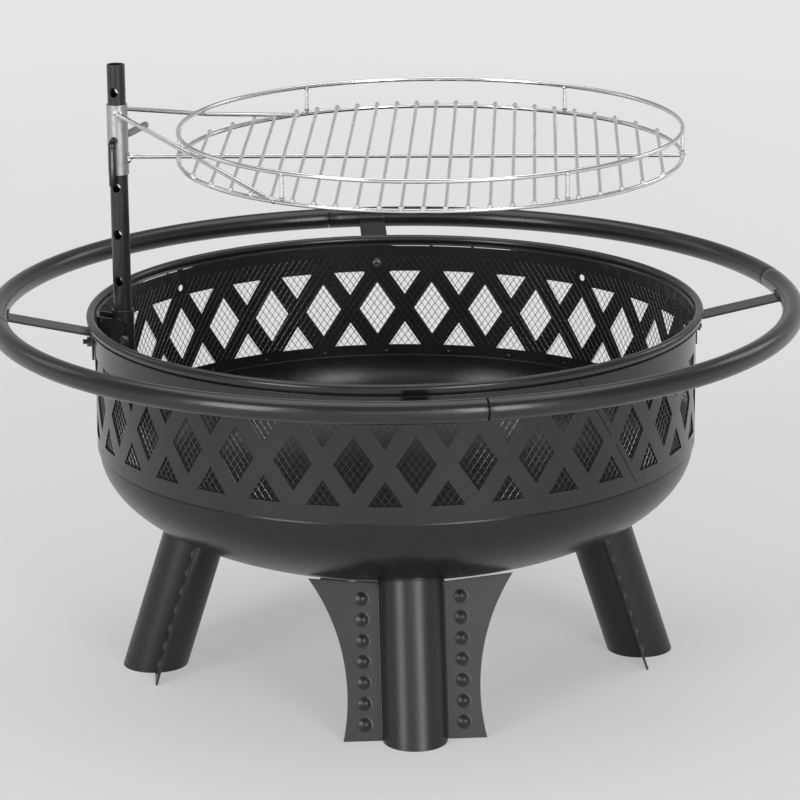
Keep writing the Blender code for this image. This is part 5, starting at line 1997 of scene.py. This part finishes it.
class FIREPIT_OT_socket(bpy.types.Operator):
    """Build the post's socket with its folded plate."""

    bl_idname = "fire_pit.socket"
    bl_label = "Post Socket"
    bl_options = {"REGISTER", "UNDO"}

    def execute(self, context):
        build_socket()
        return {"FINISHED"}


class FIREPIT_OT_screw(bpy.types.Operator):
    """Build the screw that clamps the post in its socket."""

    bl_idname = "fire_pit.screw"
    bl_label = "Set Screw"
    bl_options = {"REGISTER", "UNDO"}

    def execute(self, context):
        build_screw()
        return {"FINISHED"}


class FIREPIT_OT_sleeve(bpy.types.Operator):
    """Build the sleeve that slides on the post."""

    bl_idname = "fire_pit.sleeve"
    bl_label = "Grate Sleeve"
    bl_options = {"REGISTER", "UNDO"}

    def execute(self, context):
        build_sleeve()
        return {"FINISHED"}


class FIREPIT_OT_grate(bpy.types.Operator):
    """Build the round grate with its struts."""

    bl_idname = "fire_pit.grate"
    bl_label = "Cooking Grate"
    bl_options = {"REGISTER", "UNDO"}

    def execute(self, context):
        build_grate()
        return {"FINISHED"}


class FIREPIT_OT_rail(bpy.types.Operator):
    """Build the rail above the grate."""

    bl_idname = "fire_pit.rail"
    bl_label = "Grate Rail"
    bl_options = {"REGISTER", "UNDO"}

    def execute(self, context):
        build_rail()
        return {"FINISHED"}


class FIREPIT_OT_pin(bpy.types.Operator):
    """Build the bent lock pin."""

    bl_idname = "fire_pit.pin"
    bl_label = "Lock Pin"
    bl_options = {"REGISTER", "UNDO"}

    def execute(self, context):
        build_pin()
        return {"FINISHED"}


class FIREPIT_OT_stage(bpy.types.Operator):
    """Build the floor, the lamps and the camera."""

    bl_idname = "fire_pit.stage"
    bl_label = "Stage and Camera"
    bl_options = {"REGISTER", "UNDO"}

    def execute(self, context):
        build_stage()
        return {"FINISHED"}


OPERATORS = (
    FIREPIT_OT_bowl, FIREPIT_OT_band, FIREPIT_OT_liner, FIREPIT_OT_rim, FIREPIT_OT_ring,
    FIREPIT_OT_brackets, FIREPIT_OT_bolts, FIREPIT_OT_legs, FIREPIT_OT_wings, FIREPIT_OT_post,
    FIREPIT_OT_socket, FIREPIT_OT_screw, FIREPIT_OT_sleeve, FIREPIT_OT_grate, FIREPIT_OT_rail,
    FIREPIT_OT_pin, FIREPIT_OT_stage,
)


class FIREPIT_PT_panel(bpy.types.Panel):
    """The buttons that build the fire pit's pieces."""

    bl_label = "Fire Pit"
    bl_idname = "FIREPIT_PT_panel"
    bl_space_type = "VIEW_3D"
    bl_region_type = "UI"
    bl_category = "Fire Pit"

    def draw(self, context):
        for item in OPERATORS:
            self.layout.operator(item.bl_idname)


CLASSES = (BowlSettings, BandSettings, LinerSettings, RingSettings, LegSettings, PostSettings,
           GrateSettings, FinishSettings, StageSettings, FirePitSettings, *OPERATORS,
           FIREPIT_PT_panel)


def register():
    """Register the settings, the operators and the panel."""
    for item in CLASSES:
        bpy.utils.register_class(item)
    bpy.types.Scene.fire_pit = PointerProperty(type=FirePitSettings)


def unregister():
    """Remove the settings, the operators and the panel."""
    del bpy.types.Scene.fire_pit
    for item in reversed(CLASSES):
        bpy.utils.unregister_class(item)


def main():
    """Build every piece."""
    register()
    bpy.ops.fire_pit.bowl()
    bpy.ops.fire_pit.band()
    bpy.ops.fire_pit.liner()
    bpy.ops.fire_pit.rim()
    bpy.ops.fire_pit.ring()
    bpy.ops.fire_pit.brackets()
    bpy.ops.fire_pit.bolts()
    bpy.ops.fire_pit.legs()
    bpy.ops.fire_pit.wings()
    bpy.ops.fire_pit.post()
    bpy.ops.fire_pit.socket()
    bpy.ops.fire_pit.screw()
    bpy.ops.fire_pit.sleeve()
    bpy.ops.fire_pit.grate()
    bpy.ops.fire_pit.rail()
    bpy.ops.fire_pit.pin()
    bpy.ops.fire_pit.stage()


if __name__ == "__main__":
    main()
